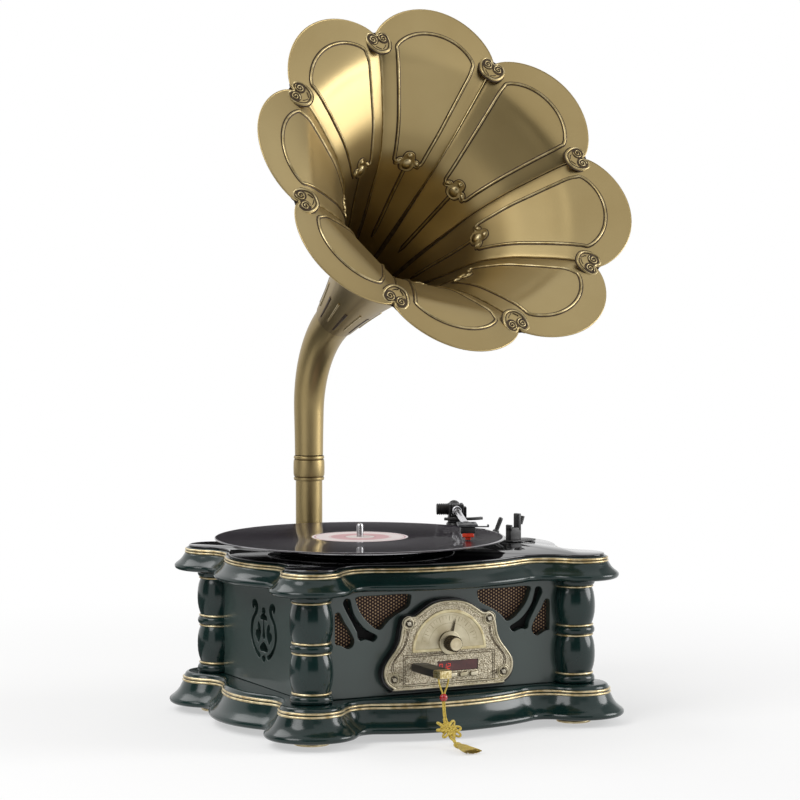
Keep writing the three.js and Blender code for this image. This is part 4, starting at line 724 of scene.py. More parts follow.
def mended(piece):
    """Weld the doubled corners of a piece and turn its faces outwards."""
    pick(piece)
    with whole_mesh():
        bpy.ops.mesh.remove_doubles(threshold=0.00001)
        bpy.ops.mesh.normals_make_consistent(inside=False)
    return piece


def with_modifier(piece, kind, **settings):
    """Finish a piece with one modifier and apply it."""
    pick(piece)
    modifier = piece.modifiers.new(kind.lower(), kind)
    for name, value in settings.items():
        setattr(modifier, name, value)
    bpy.ops.object.modifier_apply(modifier=modifier.name)
    return piece


def fretted(name, outer, holes, thick, edge, to_place):
    """A board sawn from a flat outline with openings, its edges eased: x across, y up, z outwards."""
    loops = [[(spot[0], spot[1], 0) for spot in loop] for loop in [outer, *holes]]
    board = as_mesh(curve_piece(
        name, loops, True, "2D", fill_mode="BOTH", extrude=thick / 2 - edge, bevel_depth=edge,
        bevel_resolution=1, offset=-edge,
    ))
    board.data.name = name
    for vert in board.data.vertices:
        vert.co = to_place(vert.co)
    return with_modifier(smoothed(mended(board), 60), "WEIGHTED_NORMAL", weight=100)


def rectangle(x0, y0, x1, y1):
    return [(x0, y0), (x1, y0), (x1, y1), (x0, y1)]


# The panels' satin lacquer is painted lighter and greyer than the boards': a painted reflection of the
# grey surroundings that the panels face.
panel_lacquer = finish(
    "satin_lacquer_with_painted_reflection", (0.022, 0.041, 0.036), (0.030, 0.052, 0.046), 9, (0.28, 0.38),
    Coat_Weight=0.6, Coat_Roughness=0.12,
)
grain(panel_lacquer, 90, 0.03, 0.0005)
inner_x = cabinet_x - panel_thick - 0.3
fret_low, fret_tall = 41.5, 108.5
lyre_middle, lyre_low, lyre_wide, lyre_tall = -5, 66.8, 33.5, 63


def on_front(shape, side):
    """Places on the front panel for one side's fret, given as shares of half its width and height."""
    return [(side * x * cabinet_x, fret_low + z * fret_tall) for x, z in shape]


def on_lyre(shape, side=1):
    return [(lyre_middle + side * x * lyre_wide, lyre_low + z * lyre_tall) for x, z in shape]


frets = (large_fret, middle_fret, small_fret)
fret_holes = [smooth_loop(on_front(fret, side)) for side in (-1, 1) for fret in frets]
front_middle = cabinet_front + panel_thick / 2
front_board = fretted(
    "fretted_front_panel", rectangle(-inner_x, panel_low, inner_x, panel_high), fret_holes,
    panel_thick, 0.9, lambda c: at(c.x, front_middle - c.z, c.y),
)
fitted(front_board, "player", panel_lacquer, "lacquer", "front_panel")

lyre_holes = [smooth_loop(on_lyre(shape, side)) for shape in (lyre_arm, lyre_leaf) for side in (1, -1)]
lyre_holes += [smooth_loop(on_lyre(both_halves(shape))) for shape in (lyre_bud, lyre_heart, lyre_tear)]
for name, side in (("left", -1), ("right", 1)):
    middle = side * (cabinet_x - panel_thick / 2)
    board = fretted(
        f"lyre_panel_{name}", rectangle(cabinet_front, panel_low, cabinet_rear, panel_high), lyre_holes,
        panel_thick, 0.5, lambda c, m=middle: at(m + c.z, c.x, c.y),
    )
    fitted(board, "player", panel_lacquer, "lacquer", f"{name}_panel")
dressed("rear_panel", panel_lacquer)

# Speaker cloth: dark red-brown weave with gold dots, stretched behind the front panel. Black cards
# stand behind the middle frets and behind the lyres: painted shade in these openings.
cloth_low, cloth_high = 86.1, 149.3
cloth_tall = cloth_high - cloth_low
panel_back = cabinet_front + panel_thick
deselect()
bpy.ops.mesh.primitive_plane_add(size=1)
cloth = bpy.context.object
cloth.name = cloth.data.name = "speaker_cloth"
with whole_mesh():
    bpy.ops.mesh.subdivide(number_cuts=30)
for vert in cloth.data.vertices:
    x, z = vert.co.x * 2 * inner_x, (cloth_low + cloth_high) / 2 + vert.co.y * cloth_tall
    sink = 0.15 * math.sin(x / 9) * math.sin(z / 8)
    vert.co = at(x, panel_back + 0.7 + sink, z)
with_modifier(cloth, "SOLIDIFY", thickness=0.0006, offset=0)
cloth_weave = plain_finish("gold_dotted_cloth", (0.06, 0.012, 0.008), 0.85, Sheen_Weight=0.3)
tree = cloth_weave.node_tree
split = node(tree, "SeparateXYZ", {0: node(tree, "TexCoord").outputs["Object"]}).outputs
dot_pitch = 0.0034
dot_waves = 4 * math.pi / (math.sqrt(3) * dot_pitch)
waves = []
for turn in (0, 60, 120):
    c, s = math.cos(math.radians(turn)), math.sin(math.radians(turn))
    run = sum_of(
        tree, "ADD", sum_of(tree, "MULTIPLY", split[0], c), sum_of(tree, "MULTIPLY", split[2], s),
    )
    waves.append(sum_of(tree, "COSINE", sum_of(tree, "MULTIPLY", run, dot_waves)))
total = sum_of(tree, "ADD", sum_of(tree, "ADD", waves[0], waves[1]), waves[2])
share = sum_of(tree, "MULTIPLY", sum_of(tree, "ADD", total, 1.5), 1 / 4.5)
weave_bump = node(tree, "Bump", {"Strength": 0.6, "Distance": 0.0004, "Height": share})
feed(tree, colour_ramp(tree, share, (
    (0.42, (0.022, 0.005, 0.004)), (0.80, (0.60, 0.40, 0.22)),
)), "Base Color")
feed(tree, weave_bump.outputs["Normal"], "Normal")
fitted(smoothed(cloth, 60), "player", cloth_weave, "cloth", "grille_cloth")

# Black cards as painted shade, darkening the middle frets and the lyres.
painted_shade_card = finish("painted_shade_card", (0.003, 0.003, 0.003), (0.006, 0.006, 0.006), 200, (0.85, 0.95))
for name, side in (("left", -1), ("right", 1)):
    patch = on_front(middle_fret, side)
    centre = sum((Vector(p) for p in patch), Vector((0, 0))) / len(patch)
    ring = [centre + (Vector(p) - centre) * 1.09 for p in smooth_loop(patch)]
    card = drawn_out(f"fret_shade_card_{name}", [
        [at(p.x, y, p.y) for p in ring] for y in (panel_back - 0.5, panel_back + 0.2)
    ])
    fitted(card, "player", painted_shade_card, "cloth")
for name, side in (("left", -1), ("right", 1)):
    x = side * (cabinet_x - panel_thick - 1.2)
    card = drawn_out(f"lyre_shade_card_{name}", [
        [at(x + d, y, z) for y, z in rectangle(-48, 60, 38, 136)] for d in (-0.4, 0.4)
    ])
    fitted(card, "player", painted_shade_card, "plastic")

# Loudspeakers, circuit board and socket plate sit inside or at the back; their nodes keep their
# shapes.
circuit_green = finish("circuit_green", (0.008, 0.07, 0.022), (0.02, 0.12, 0.04), 80, (0.35, 0.5))
for node_name in ("speaker_left", "speaker_right", "jack_plate"):
    dressed(node_name, black_plastic)
dressed("amplifier_board", circuit_green)

# Upper board: the same outline with a thin rounded lip at the bottom, a hollow cove above it, and
# two gilt lines just under the flat top.
upper_profile = [
    (3.0, 150.0), (6.5, 150.3), (8.7, 151.2), (9.9, 152.6), (10.3, 154.2), (9.9, 155.7),
    (8.6, 157.0), (6.8, 158.4), (4.8, 160.0), (3.0, 161.8), (1.6, 163.7), (0.4, 165.6),
    (-0.6, 167.2), (-1.3, 167.8), (-1.2, 168.0), (-0.7, 168.4), (-0.5, 169.1), (-0.8, 169.8),
    (-1.6, 170.1), (-2.0, 170.3), (-2.0, 170.7), (-1.5, 170.9), (-1.0, 171.3), (-0.9, 172.0),
    (-1.3, 172.6), (-2.2, 172.9), (-2.6, 173.2), (-3.4, 173.7), (-5.0, 174.0), (-7.0, 174.0),
]
upper_board = gilded(moulded_board("upper_board", upper_profile), (168.0, 170.1), (170.9, 172.9))
fitted(upper_board, "player", [], "lacquer", "top_board")

# Deck plate: a sheet with a black gloss face and an eased edge. It lies on the upper board, inside
# that board's outline, and the platter's bearing and the motor's shaft pass through it.
deck_gloss = finish(
    "black_gloss_deck", (0.003, 0.003, 0.004), (0.006, 0.006, 0.007), 30, (0.04, 0.08), Coat_Weight=0.3,
    Coat_Roughness=0.02,
)
deck_profile = [
    (-5.2, 174.3), (-5.0, 174.5), (-5.0, 175.5), (-5.25, 176.05), (-5.8, 176.3),
]
deck = moulded_board("gloss_deck", deck_profile)
fitted(deck, "player", deck_gloss, "deck", "deck_plate")

# Platter and mat: a turned alloy disc with a hub and a spindle, and a black rubber mat on it. The
# record lies on the mat and turns with them.
platter_place = (-43.4, -8.0, 0)
bright_alloy = finish("bright_alloy", (0.42, 0.42, 0.43), (0.60, 0.60, 0.61), 90, (0.22, 0.34), 1.0)
platter_profile = [
    (3.5, 142.3), (3.5, 178.0), (61.4, 178.0), (62.0, 178.6), (62.0, 182.0), (97.2, 182.0), (98.0, 182.8),
    (98.0, 186.8), (97.2, 187.4), (3.5, 187.4), (3.5, 201.6), (3.3, 203.2), (2.7, 204.5), (1.6, 205.2),
    (0.5, 205.4),
]
platter = smoothed(turned("turned_platter", platter_profile, platter_place, 128), 30)
fitted(platter, "turning_platter", bright_alloy, "alloy", "platter")
for node_name in ("platter_bearing", "motor_pulley", "drive_motor"):
    dressed(node_name, bright_alloy)
rubber = finish("black_rubber", (0.010, 0.010, 0.010), (0.020, 0.020, 0.020), 120, (0.68, 0.85))
dressed("drive_belt", rubber)
mat_profile = [(4.0, 187.7), (94.4, 187.7), (95.0, 188.2), (95.0, 188.8), (94.4, 189.2), (4.0, 189.2)]
mat = smoothed(turned("rubber_mat", mat_profile, platter_place, 128), 30)
fitted(mat, "turning_platter", rubber, "rubber", "platter_mat")

# Record: black vinyl with a raised rim, bands of fine grooves, a smooth run-out, and a pale paper
# label with a plain ring pattern of its own.
vinyl = plain_finish(
    "black_vinyl", (0.010, 0.007, 0.012), 0.28, Coat_Weight=0.7, Coat_Roughness=0.03,
    Anisotropic=0.7, Anisotropic_Rotation=0.25,
)


def round_distance(tree):
    """The distance from the platter's axis."""
    centred = node(tree, "Mapping", {
        "Vector": node(tree, "TexCoord").outputs["Object"],
        "Location": [-v for v in at(*platter_place)],
    })
    flat = node(tree, "VectorMath", {0: centred.outputs[0], 1: (1, 1, 0)}, operation="MULTIPLY")
    return node(tree, "VectorMath", {0: flat.outputs[0]}, operation="LENGTH").outputs["Value"]


tree = vinyl.node_tree
round_grooves = node(tree, "Tangent", direction_type="RADIAL", axis="Z")
feed(tree, round_grooves.outputs["Tangent"], "Tangent")
radius = round_distance(tree)
groove_pitch = 0.00075
fine_rings = sum_of(tree, "SINE", sum_of(tree, "MULTIPLY", radius, 2 * math.pi / groove_pitch))
bands = node(tree, "TexNoise", {"W": radius, "Scale": 420, "Detail": 4}, noise_dimensions="1D")
grooves = sum_of(tree, "ADD", sum_of(tree, "MULTIPLY", fine_rings, 0.4), bands.outputs["Fac"])
groove_bump = node(tree, "Bump", {"Strength": 0.06, "Distance": 0.00025, "Height": grooves})
feed(tree, groove_bump.outputs["Normal"], "Normal")
# The base colour goes from black to dark purple with the groove bands: a painted sheen.
feed(tree, colour_ramp(tree, bands.outputs["Fac"], (
    (0, (0.006, 0.005, 0.008)), (1, (0.030, 0.016, 0.034)),
)), "Base Color")

paper_label = plain_finish("paper_label", (0.75, 0.55, 0.55), 0.6)
tree = paper_label.node_tree
label_radius = 0.050
label_share = sum_of(tree, "MULTIPLY", round_distance(tree), 1 / label_radius)
feed(tree, colour_ramp(tree, label_share, (
    (0.0, (0.78, 0.70, 0.68)), (0.30, (0.60, 0.36, 0.38)), (0.33, (0.66, 0.40, 0.42)),
    (0.60, (0.78, 0.62, 0.62)), (0.66, (0.82, 0.74, 0.73)), (0.92, (0.58, 0.34, 0.38)),
    (0.95, (0.84, 0.76, 0.75)),
), "CONSTANT"), "Base Color")

record_profile = [
    (3.8, 189.55), (49.0, 189.55), (148.5, 189.6), (150.3, 189.9), (150.8, 190.5), (150.3, 191.1),
    (149.2, 191.4), (147.6, 191.36), (146.4, 191.2), (146.0, 191.14), (62.0, 191.14), (61.0, 191.3),
    (51.0, 191.3), (50.2, 191.25), (50.0, 191.18), (3.8, 191.18),
]
record = turned("twelve_inch_record", record_profile, platter_place, 180)
label_middle = at(platter_place[0], platter_place[1], 0)
paint(record, 1, lambda c: math.hypot(c.x - label_middle.x, c.y - label_middle.y) < 0.0499)
fitted(smoothed(record, 30), "turning_platter", [vinyl, paper_label], "vinyl", "record")

# Tuner front: a black moulded housing, and on it a cast champagne-brass plate with a sandy ground,
# engraved double lines, a raised half-round dial and ring bosses for four dark screws.
plate_half, plate_low, plate_tall = 73.5, 47.4, 88.4
plate_face = -124.6
housing_face = -122.7
plate_points = [
    (0, 1), (0.14, 0.993), (0.28, 0.962), (0.41, 0.9), (0.515, 0.842), (0.57, 0.834), (0.64, 0.83),
    (0.69, 0.795), (0.725, 0.71), (0.755, 0.575), (0.82, 0.468), (0.91, 0.373), (0.985, 0.278),
    (1, 0.18), (0.955, 0.09), (0.85, 0.02), (0.72, 0),
]


def plate_outline(inset, points=plate_points):
    """The plate's outline, drawn in by an inset: x across, height up."""
    half = [
        (x * (plate_half - inset), plate_low + inset + z * (plate_tall - 2 * inset)) for x, z in points
    ]
    return smooth_loop(both_halves(half), 4)


def front_piece(name, outer, holes, thick, edge, y_front, material):
    """A sawn or cast piece that faces the front, with its outer face at y_front."""
    piece = fretted(
        name, outer, holes, thick, edge, lambda c: at(c.x, y_front + thick / 2 - c.z, c.y),
    )
    return coated(piece, material)


housing_black = finish("housing_black", (0.007, 0.007, 0.008), (0.015, 0.015, 0.016), 70, (0.24, 0.38))
housing = front_piece("tuner_housing", plate_outline(-2), [], 8.4, 0.8, housing_face, housing_black)
fitted(housing, "player", [], "plastic", "dial_housing")

champagne = finish("champagne_brass", (0.42, 0.37, 0.24), (0.68, 0.62, 0.47), 55, (0.34, 0.5), 0.8)
sandy = finish(
    "sand_cast_brass", (0.27, 0.225, 0.15), (0.66, 0.60, 0.46), 900, (0.42, 0.62), 0.8, span=(0.4, 0.6),
)
grain(sandy, 620, 1.0, 0.0012, 4)
dark_engraving = finish(
    "dark_engraving", (0.045, 0.03, 0.015), (0.11, 0.08, 0.04), 300, (0.5, 0.7), 0.4,
)
faint_engraving = finish(
    "faint_engraving", (0.22, 0.18, 0.10), (0.38, 0.32, 0.20), 300, (0.42, 0.6), 0.5,
)

screw_spots = {"tl": (-46, 114.7), "tr": (46, 114.7), "bl": (-62.5, 59.2), "br": (62.5, 59.2)}


def oval(x, z, wide, tall, steps):
    """A closed ring of flat places round a middle."""
    return [(x + wide * c, z + tall * s) for c, s in around(steps)]


window = (-13, 64, 33, 74)
button_middles = [10 + (k - 1.5) * 12 for k in range(4)]
plate_holes = [rectangle(window[0] - 0.3, window[1] - 0.3, window[2] + 0.3, window[3] + 0.3)]
plate_holes += [rectangle(x - 4.3, 57.3, x + 4.3, 61.9) for x in button_middles]
ground = front_piece(
    "plate_ground", plate_outline(0), plate_holes, 1.2, 0.25, plate_face + 0.4, champagne,
)
coated(ground, sandy)
paint(ground, 1, lambda c: c.y < at(0, plate_face + 0.45, 0).y)
plate_parts = [ground]


def raised_line(name, places, width, y, closed=True, material=champagne):
    """A low rounded bead along a line on the plate's face."""
    return corded(name, [at(x, y, z) for x, z in places], width, material, closed)


border_face = plate_face + 0.35
plate_parts.append(raised_line("rim_bead", plate_outline(1.0), 2.2, border_face))
plate_parts.append(raised_line("inner_bead", plate_outline(4.6), 1.0, border_face + 0.1))
for side in (-1, 1):
    for inset in (8.5, 10.3):
        run = [(x, z) for x, z in plate_outline(inset) if side * x > 38 and z < 118]
        run.sort(key=lambda p: math.atan2(p[1] - 40, side * p[0]))
        plate_parts.append(raised_line(
            "side_engraving", run, 0.8, plate_face + 0.45, False, dark_engraving,
        ))
for grow in (0, 2.0):
    box_line = rectangle(-50 - grow, 53.2 - grow, 50 + grow, 80.6 + grow)
    plate_parts.append(raised_line("panel_line", box_line, 0.8, plate_face + 0.42, True, dark_engraving))

dial_base, dial_radius = 84.7, 42


def half_round(wide, tall, base, steps, first=0):
    """The upper half of an oval round the dial's middle, from right to left."""
    return [
        (wide * math.cos(math.pi * k / steps), base + tall * math.sin(math.pi * k / steps))
        for k in range(first, steps + 1 - first)
    ]


dial_ivory = finish("dial_ivory", (0.58, 0.48, 0.26), (0.80, 0.72, 0.46), 110, (0.34, 0.48), 0.5)
dial_satin = finish("dial_satin", (0.42, 0.36, 0.23), (0.62, 0.56, 0.40), 45, (0.3, 0.44), 0.8)
dial_arc = half_round(dial_radius, dial_radius, dial_base, 48)
inner_dial = half_round(dial_radius - 3.2, dial_radius - 6.4, dial_base + 3.0, 48)
plate_parts += [
    front_piece("dial_rim", dial_arc, [inner_dial], 1.5, 0.5, plate_face - 0.7, dial_ivory),
    front_piece("dial_floor", inner_dial, [], 0.6, 0.1, plate_face - 0.1, dial_satin),
]
for k in range(1, 24):
    angle = math.pi * k / 24
    inner, wide = (25.5, 0.6) if k % 3 == 0 else (27.5, 0.4)
    mark = [(r * math.cos(angle), dial_base + 8 + (r - 3) * math.sin(angle)) for r in (inner, 30.5)]
    plate_parts.append(raised_line("dial_mark", mark, wide, plate_face - 0.02, False, faint_engraving))
for radius in (23.5, 31.8):
    arc = half_round(radius, radius - 2, dial_base + 6.5, 40, 1)
    plate_parts.append(raised_line("dial_ring", arc, 0.35, plate_face, False, faint_engraving))
for x, z in screw_spots.values():
    for radius, width in ((5.2, 1.5), (7.2, 0.7)):
        ring = oval(x, z, radius, radius, 28)
        plate_parts.append(raised_line("boss_ring", ring, width, plate_face + 0.3))
fitted(joined("champagne_plate", plate_parts), "player", [], "plate", "dial_plate")

screw_dark = finish("blackened_screw", (0.03, 0.025, 0.018), (0.09, 0.075, 0.05), 240, (0.34, 0.5), 0.8)
screw_bright = finish("bright_screw", (0.40, 0.36, 0.27), (0.60, 0.56, 0.46), 240, (0.26, 0.4), 1.0)
head_profile = [(3.2, 0.3), (3.4, 0.0), (3.4, -0.5), (3.0, -1.1), (2.0, -1.45), (0.9, -1.55)]
for name, (x, z) in screw_spots.items():
    head = turned(f"plate_screw_head_{name}", head_profile, (x, plate_face, z), 32, "Y")
    deselect()
    bpy.ops.mesh.primitive_cube_add(size=1)
    slot_cut = bpy.context.object
    slot_turn = Matrix.Rotation(math.radians(35), 4, "Y")
    for vert in slot_cut.data.vertices:
        spot = slot_turn @ Vector((vert.co.x * 8, vert.co.y * 1.6, vert.co.z * 0.9))
        vert.co = at(x + spot.x, plate_face - 1.7 + spot.y, z + spot.z)
    with_modifier(head, "BOOLEAN", object=slot_cut, solver="EXACT")
    bpy.data.objects.remove(slot_cut)
    paint(head, 1, lambda c, m=at(x, 0, z): math.hypot(c.x - m.x, c.z - m.z) < 0.0021)
    fitted(smoothed(head, 30), "player", [screw_dark, screw_bright], "plate", f"plate_screw_{name}")

# Display: dark reddish brown glass with three red figures glowing at its left end; below it a row of
# small cast buttons.
display_glass = finish(
    "display_glass", (0.060, 0.011, 0.010), (0.095, 0.019, 0.017), 120, (0.08, 0.14), Coat_Weight=0.3,
)
pane = front_piece("display_pane", rectangle(*window), [], 2.4, 0.3, plate_face + 0.9, display_glass)
fitted(pane, "player", [], "display", "display_window")
red_digit = finish(
    "red_digit", (0.7, 0.02, 0.015), (0.9, 0.04, 0.03), 300, (0.35, 0.45),
    Emission_Color=(1, 0.08, 0.04, 1), Emission_Strength=0.35,
)
segments = {
    "a": ((0, 2), (1, 2)), "b": ((1, 2), (1, 1)), "c": ((1, 1), (1, 0)), "d": ((0, 0), (1, 0)),
    "e": ((0, 0), (0, 1)), "f": ((0, 1), (0, 2)), "g": ((0, 1), (1, 1)),
}
digit_wide, digit_tall, digit_low, digit_lean = 3, 2.6, 66, 0.08
digit_parts = []
for place_x, lit in ((-11, "abcdef"), (-6.4, "bc"), (-1.8, "abged")):
    for letter in lit:
        ends = [
            (place_x + (x + z * digit_lean) * digit_wide, digit_low + z * digit_tall)
            for x, z in segments[letter]
        ]
        digit_parts.append(raised_line("digit", ends, 0.6, plate_face + 0.95, False, red_digit))
fitted(joined("display_digits", digit_parts), "player", [], "display")
for k, x in enumerate(button_middles):
    key = front_piece(
        f"cast_button_{k + 1}", rectangle(x - 4, 57.6, x + 4, 61.6), [], 5, 0.7, plate_face - 2,
        champagne,
    )
    body = ("first_button", "second_button", "third_button", "fourth_button")[k]
    fitted(key, body, [], "plate", f"button_{k + 1}")

# Tuning knob: a cream ring with a thin dark pointer, a ribbed dark barrel with brass-tipped ribs,
# and a pale end face.
knob_z = 92.7
cream = finish("cream_resin", (0.62, 0.52, 0.32), (0.80, 0.71, 0.50), 130, (0.28, 0.42))
knob_dark = finish("knob_dark", (0.02, 0.014, 0.008), (0.10, 0.075, 0.04), 420, (0.28, 0.45), 0.5)
knob_centre = (0, plate_face, knob_z)
collar = turned("knob_collar", [
    (11.2, -0.9), (12.0, -1.1), (12.0, -1.9), (11.4, -2.35), (9.0, -2.4), (8.4, -2.6), (7.0, -2.6),
], knob_centre, 56, "Y")
coated(collar, dial_satin)
ribs = 24
barrel_rings = []
for along, scale in ((-1.8, 0.98), (-2.6, 1.0), (-8, 1.0), (-13.4, 1.0), (-14.2, 0.96), (-14.6, 0.88)):
    ring = []
    for k in range(ribs * 6):
        angle = 2 * math.pi * k / (ribs * 6)
        wave = max(0, math.cos(angle * ribs)) ** 0.6
        radius = scale * (7.2 + 0.8 * wave)
        ring.append(at(radius * math.cos(angle), plate_face + along, knob_z + radius * math.sin(angle)))
    barrel_rings.append(ring)
barrel = coated(drawn_out("knob_barrel", barrel_rings), knob_dark)
cap = turned("knob_cap", [
    (6.5, -14.0), (6.5, -14.8), (6.1, -15.2), (5.2, -15.28), (4.9, -15.1), (4.5, -15.05), (1.0, -15.2),
], knob_centre, 48, "Y")
coated(cap, cream)
pointer_turn = math.radians(-15)
c, s = math.cos(pointer_turn), math.sin(pointer_turn)
pointer_outline = [
    (across * c - along * s, knob_z + across * s + along * c)
    for across, along in ((-1.1, 9.5), (1.1, 9.5), (0.8, 20), (0, 25), (-0.8, 20))
]
pointer = front_piece("knob_pointer", pointer_outline, [], 0.8, 0.2, plate_face - 1.8, knob_dark)
knob = joined("tuning_knob_turned", [smoothed(p, 35) for p in (collar, barrel, cap, pointer)])
fitted(knob, "knob", [], "plastic", "tuning_knob")

# USB stick: a black body with eased edges, its plug in the plate, and a gold cap that narrows to
# its end, with a speckled top.
gold_cap = finish(
    "gold_cap", (0.50, 0.38, 0.14), (0.86, 0.74, 0.44), 650, (0.2, 0.42), 1.0, span=(0.42, 0.58),
)
grain(gold_cap, 900, 0.3, 0.0003)


def eased_block(name, low, high, ease, segments, to_place=at):
    """A block with rounded edges between two corners."""
    deselect()
    bpy.ops.mesh.primitive_cube_add(size=1)
    block = bpy.context.object
    block.name = block.data.name = name
    for vert in block.data.vertices:
        vert.co = to_place(*(low[i] if vert.co[i] < 0 else high[i] for i in range(3)))
    with whole_mesh():
        bpy.ops.mesh.bevel(offset=ease / 1000, segments=segments, affect="EDGES")
    return smoothed(block, 40)


stick_parts = []
for name, half, front, rear, low, high, ease, segments, material in (
    ("stick_body", 8.5, stick_end, -124.9, 66.5, 74.5, 1.4, 4, black_plastic),
    ("stick_seam", 8.6, -146, -145.2, 66.4, 74.6, 0.3, 2, housing_black),
    ("stick_plug", 6.1, -126, -112.6, 68.2, 72.8, 0.4, 2, bright_alloy),
):
    block = eased_block(name, (stick_x - half, front, low), (stick_x + half, rear, high), ease, segments)
    stick_parts.append(coated(block, material))
cap_half = [(8.5, 0), (8.2, 2.5), (6.6, 10.8), (5.4, 12)]
cap_outline = [(stick_x - x, y) for x, y in cap_half] + [(stick_x + x, y) for x, y in cap_half[::-1]]
gold_piece = fretted(
    "stick_cap", cap_outline, [], 8, 0.9, lambda c: at(c.x, stick_end - c.y, stick_z + c.z),
)
stick_parts.append(coated(gold_piece, gold_cap))
for side in (-1, 1):
    eye = [
        at(stick_x + side * eye_aside + 1.2 * c, cap_middle, 66.6 + 0.9 * s) for c, s in around(16)
    ]
    stick_parts.append(corded("stick_eye", eye, 0.8, gold_cap, True))
fitted(joined("memory_stick", stick_parts), "stick", [], "plastic", "usb_stick")

# Tonearm: a black pedestal and turret with a ribbed cap on its side, a silver tube with a collar, a
# black counterweight, a grey headshell with a finger lift, and a red-orange stylus.
deck_top = 176.6
arm_x, arm_y = 118.7, 85.1
arm_place = Vector((arm_x, arm_y, 0))
arm_turn = Matrix.Rotation(math.radians(-24.3), 4, "Z")
arm_height = 204.7
silver_tube = finish("silver_tube", (0.54, 0.54, 0.56), (0.70, 0.70, 0.72), 140, (0.14, 0.24), 1.0)


def on_arm(x, y, z):
    """A place on the arm, made along -Y from its pivot, turned to where the photograph has it."""
    return at(*(arm_place + arm_turn @ Vector((x, y, z))))


def arm_turned(name, profile, sides=40, axis="Y", centre=(0, 0, arm_height)):
    """A turned piece whose axis runs along the arm (Y), across it (X), or upright (Z)."""
    return smoothed(turned(name, profile, centre, sides, axis, on_arm), 35)


def arm_block(name, low, high, ease, segments=2):
    return eased_block(name, low, high, ease, segments, on_arm)


lift_angle = math.radians(-104.5)
lift_reach = 40
lift_x, lift_y = arm_x + lift_reach * math.cos(lift_angle), arm_y + lift_reach * math.sin(lift_angle)
lever_x, lever_y = 141, 35
pedestal_parts = [
    turned("pedestal", [
        (14.6, deck_top), (15, 177), (15, 178.4), (14.4, 179.2), (11.4, 179.4), (10.6, 180),
        (10.5, 188.6), (10.0, 189.8), (9.4, 190.0),
    ], (arm_x, arm_y, 0), 56),
    turned("lift_housing", [
        (5.2, deck_top), (5.4, 177.2), (4.6, 178), (4.6, 187.6), (4.2, 188.4), (3.4, 188.6),
    ], (lift_x, lift_y, 0), 36),
    turned("lever_stand", [
        (6.0, deck_top), (6.2, 177.2), (5.8, 180), (5.0, 180.6), (4, 180.6),
    ], (lever_x, lever_y, 0), 36),
]
for foot_x, foot_y in ((lift_x, lift_y), (lever_x, lever_y)):
    foot = Vector((foot_x, foot_y, 0))
    along = Vector((foot_x - arm_x, foot_y - arm_y, 0))
    across = Vector((-along.y, along.x, 0)).normalized() * 4.2
    corners = [arm_place - across, foot - across, foot + across, arm_place + across]
    pedestal_parts.append(drawn_out("pedestal_bridge", [
        [at(c.x, c.y, z) for c in corners] for z in (deck_top, 179.0)
    ]))
pedestal = joined("arm_pedestal_moulded", [smoothed(p, 40) for p in pedestal_parts])
fitted(pedestal, "player", black_plastic, "plastic", "arm_pedestal")

disc_profile = [(8.4, 190.4), (9.0, 190.8), (9.0, 196.2), (8.4, 196.8)]
turret_parts = [
    arm_turned("turret_disc", disc_profile, 48, "Z", (0, 0, 0)),
    arm_block("turret_floor", (-8.2, -10.5, 193.6), (8.2, 10.5, 197.0), 0.6),
    arm_block("turret_cheek_left", (-8.2, -10.5, 193.6), (-5.2, 10.5, 210.6), 0.8),
    arm_block("turret_cheek_right", (5.2, -10.5, 193.6), (8.2, 10.5, 210.6), 0.8),
    arm_block("turret_side_plate", (7.4, -6, 195.3), (11.5, 6, 207.3), 0.8),
]
cap_profile = [(5.0, -7.6), (6.0, -8.2)]
for k in range(5):
    start = -9.2 - k * 2.0
    cap_profile += [(6.3, start), (6.3, start - 1.1), (5.5, start - 1.35), (5.5, start - 1.75)]
cap_profile += [(6.2, -19.4), (6.0, -20.6), (5.4, -21.2), (3.2, -21.3)]
turret_parts.append(arm_turned("turret_ribbed_cap", cap_profile, 40, "X"))
turret = joined("arm_turret_moulded", turret_parts)
fitted(turret, "turret", black_plastic, "plastic", "arm_turret")

tube_end = -163.8
arm_parts = [
    coated(arm_block("arm_block", (-4.9, -12, 198.1), (4.9, 12, 210.9), 1.2), black_plastic),
    coated(arm_turned("arm_pipe", [
        (3.2, 31), (3.3, 30.6), (3.3, tube_end + 0.4), (3.1, tube_end),
    ]), silver_tube),
    coated(arm_turned("arm_collar", [
        (3.4, -11.4), (4.6, -11.8), (5.0, -12.4), (5.0, -15.4), (4.7, -15.7), (4.7, -16.3),
        (5.0, -16.6), (5.0, -21.8), (4.5, -22.6), (3.4, -22.9),
    ], 44), silver_tube),
    coated(arm_turned("arm_collar_rear", [
        (3.4, 11.5), (5, 12), (5, 14.4), (4.6, 15.0), (3.4, 15.0),
    ]), black_plastic),
]
fitted(joined("arm_tube_silver", arm_parts), "arm", [], "steel", "arm_tube")
weight_profile = [(3.7, 15.0), (6.4, 15.0), (7.0, 15.6)]
for k in range(6):
    start = 16.4 + k * 2.2
    weight_profile += [(7.0, start), (7.0, start + 1.3), (6.5, start + 1.6), (6.5, start + 1.9)]
weight_profile += [(7.0, 29.8), (6.6, 30.8), (3.7, 31.0)]
weight = arm_turned("ribbed_counterweight", weight_profile, 44)
fitted(weight, "arm", black_plastic, "plastic", "counterweight")

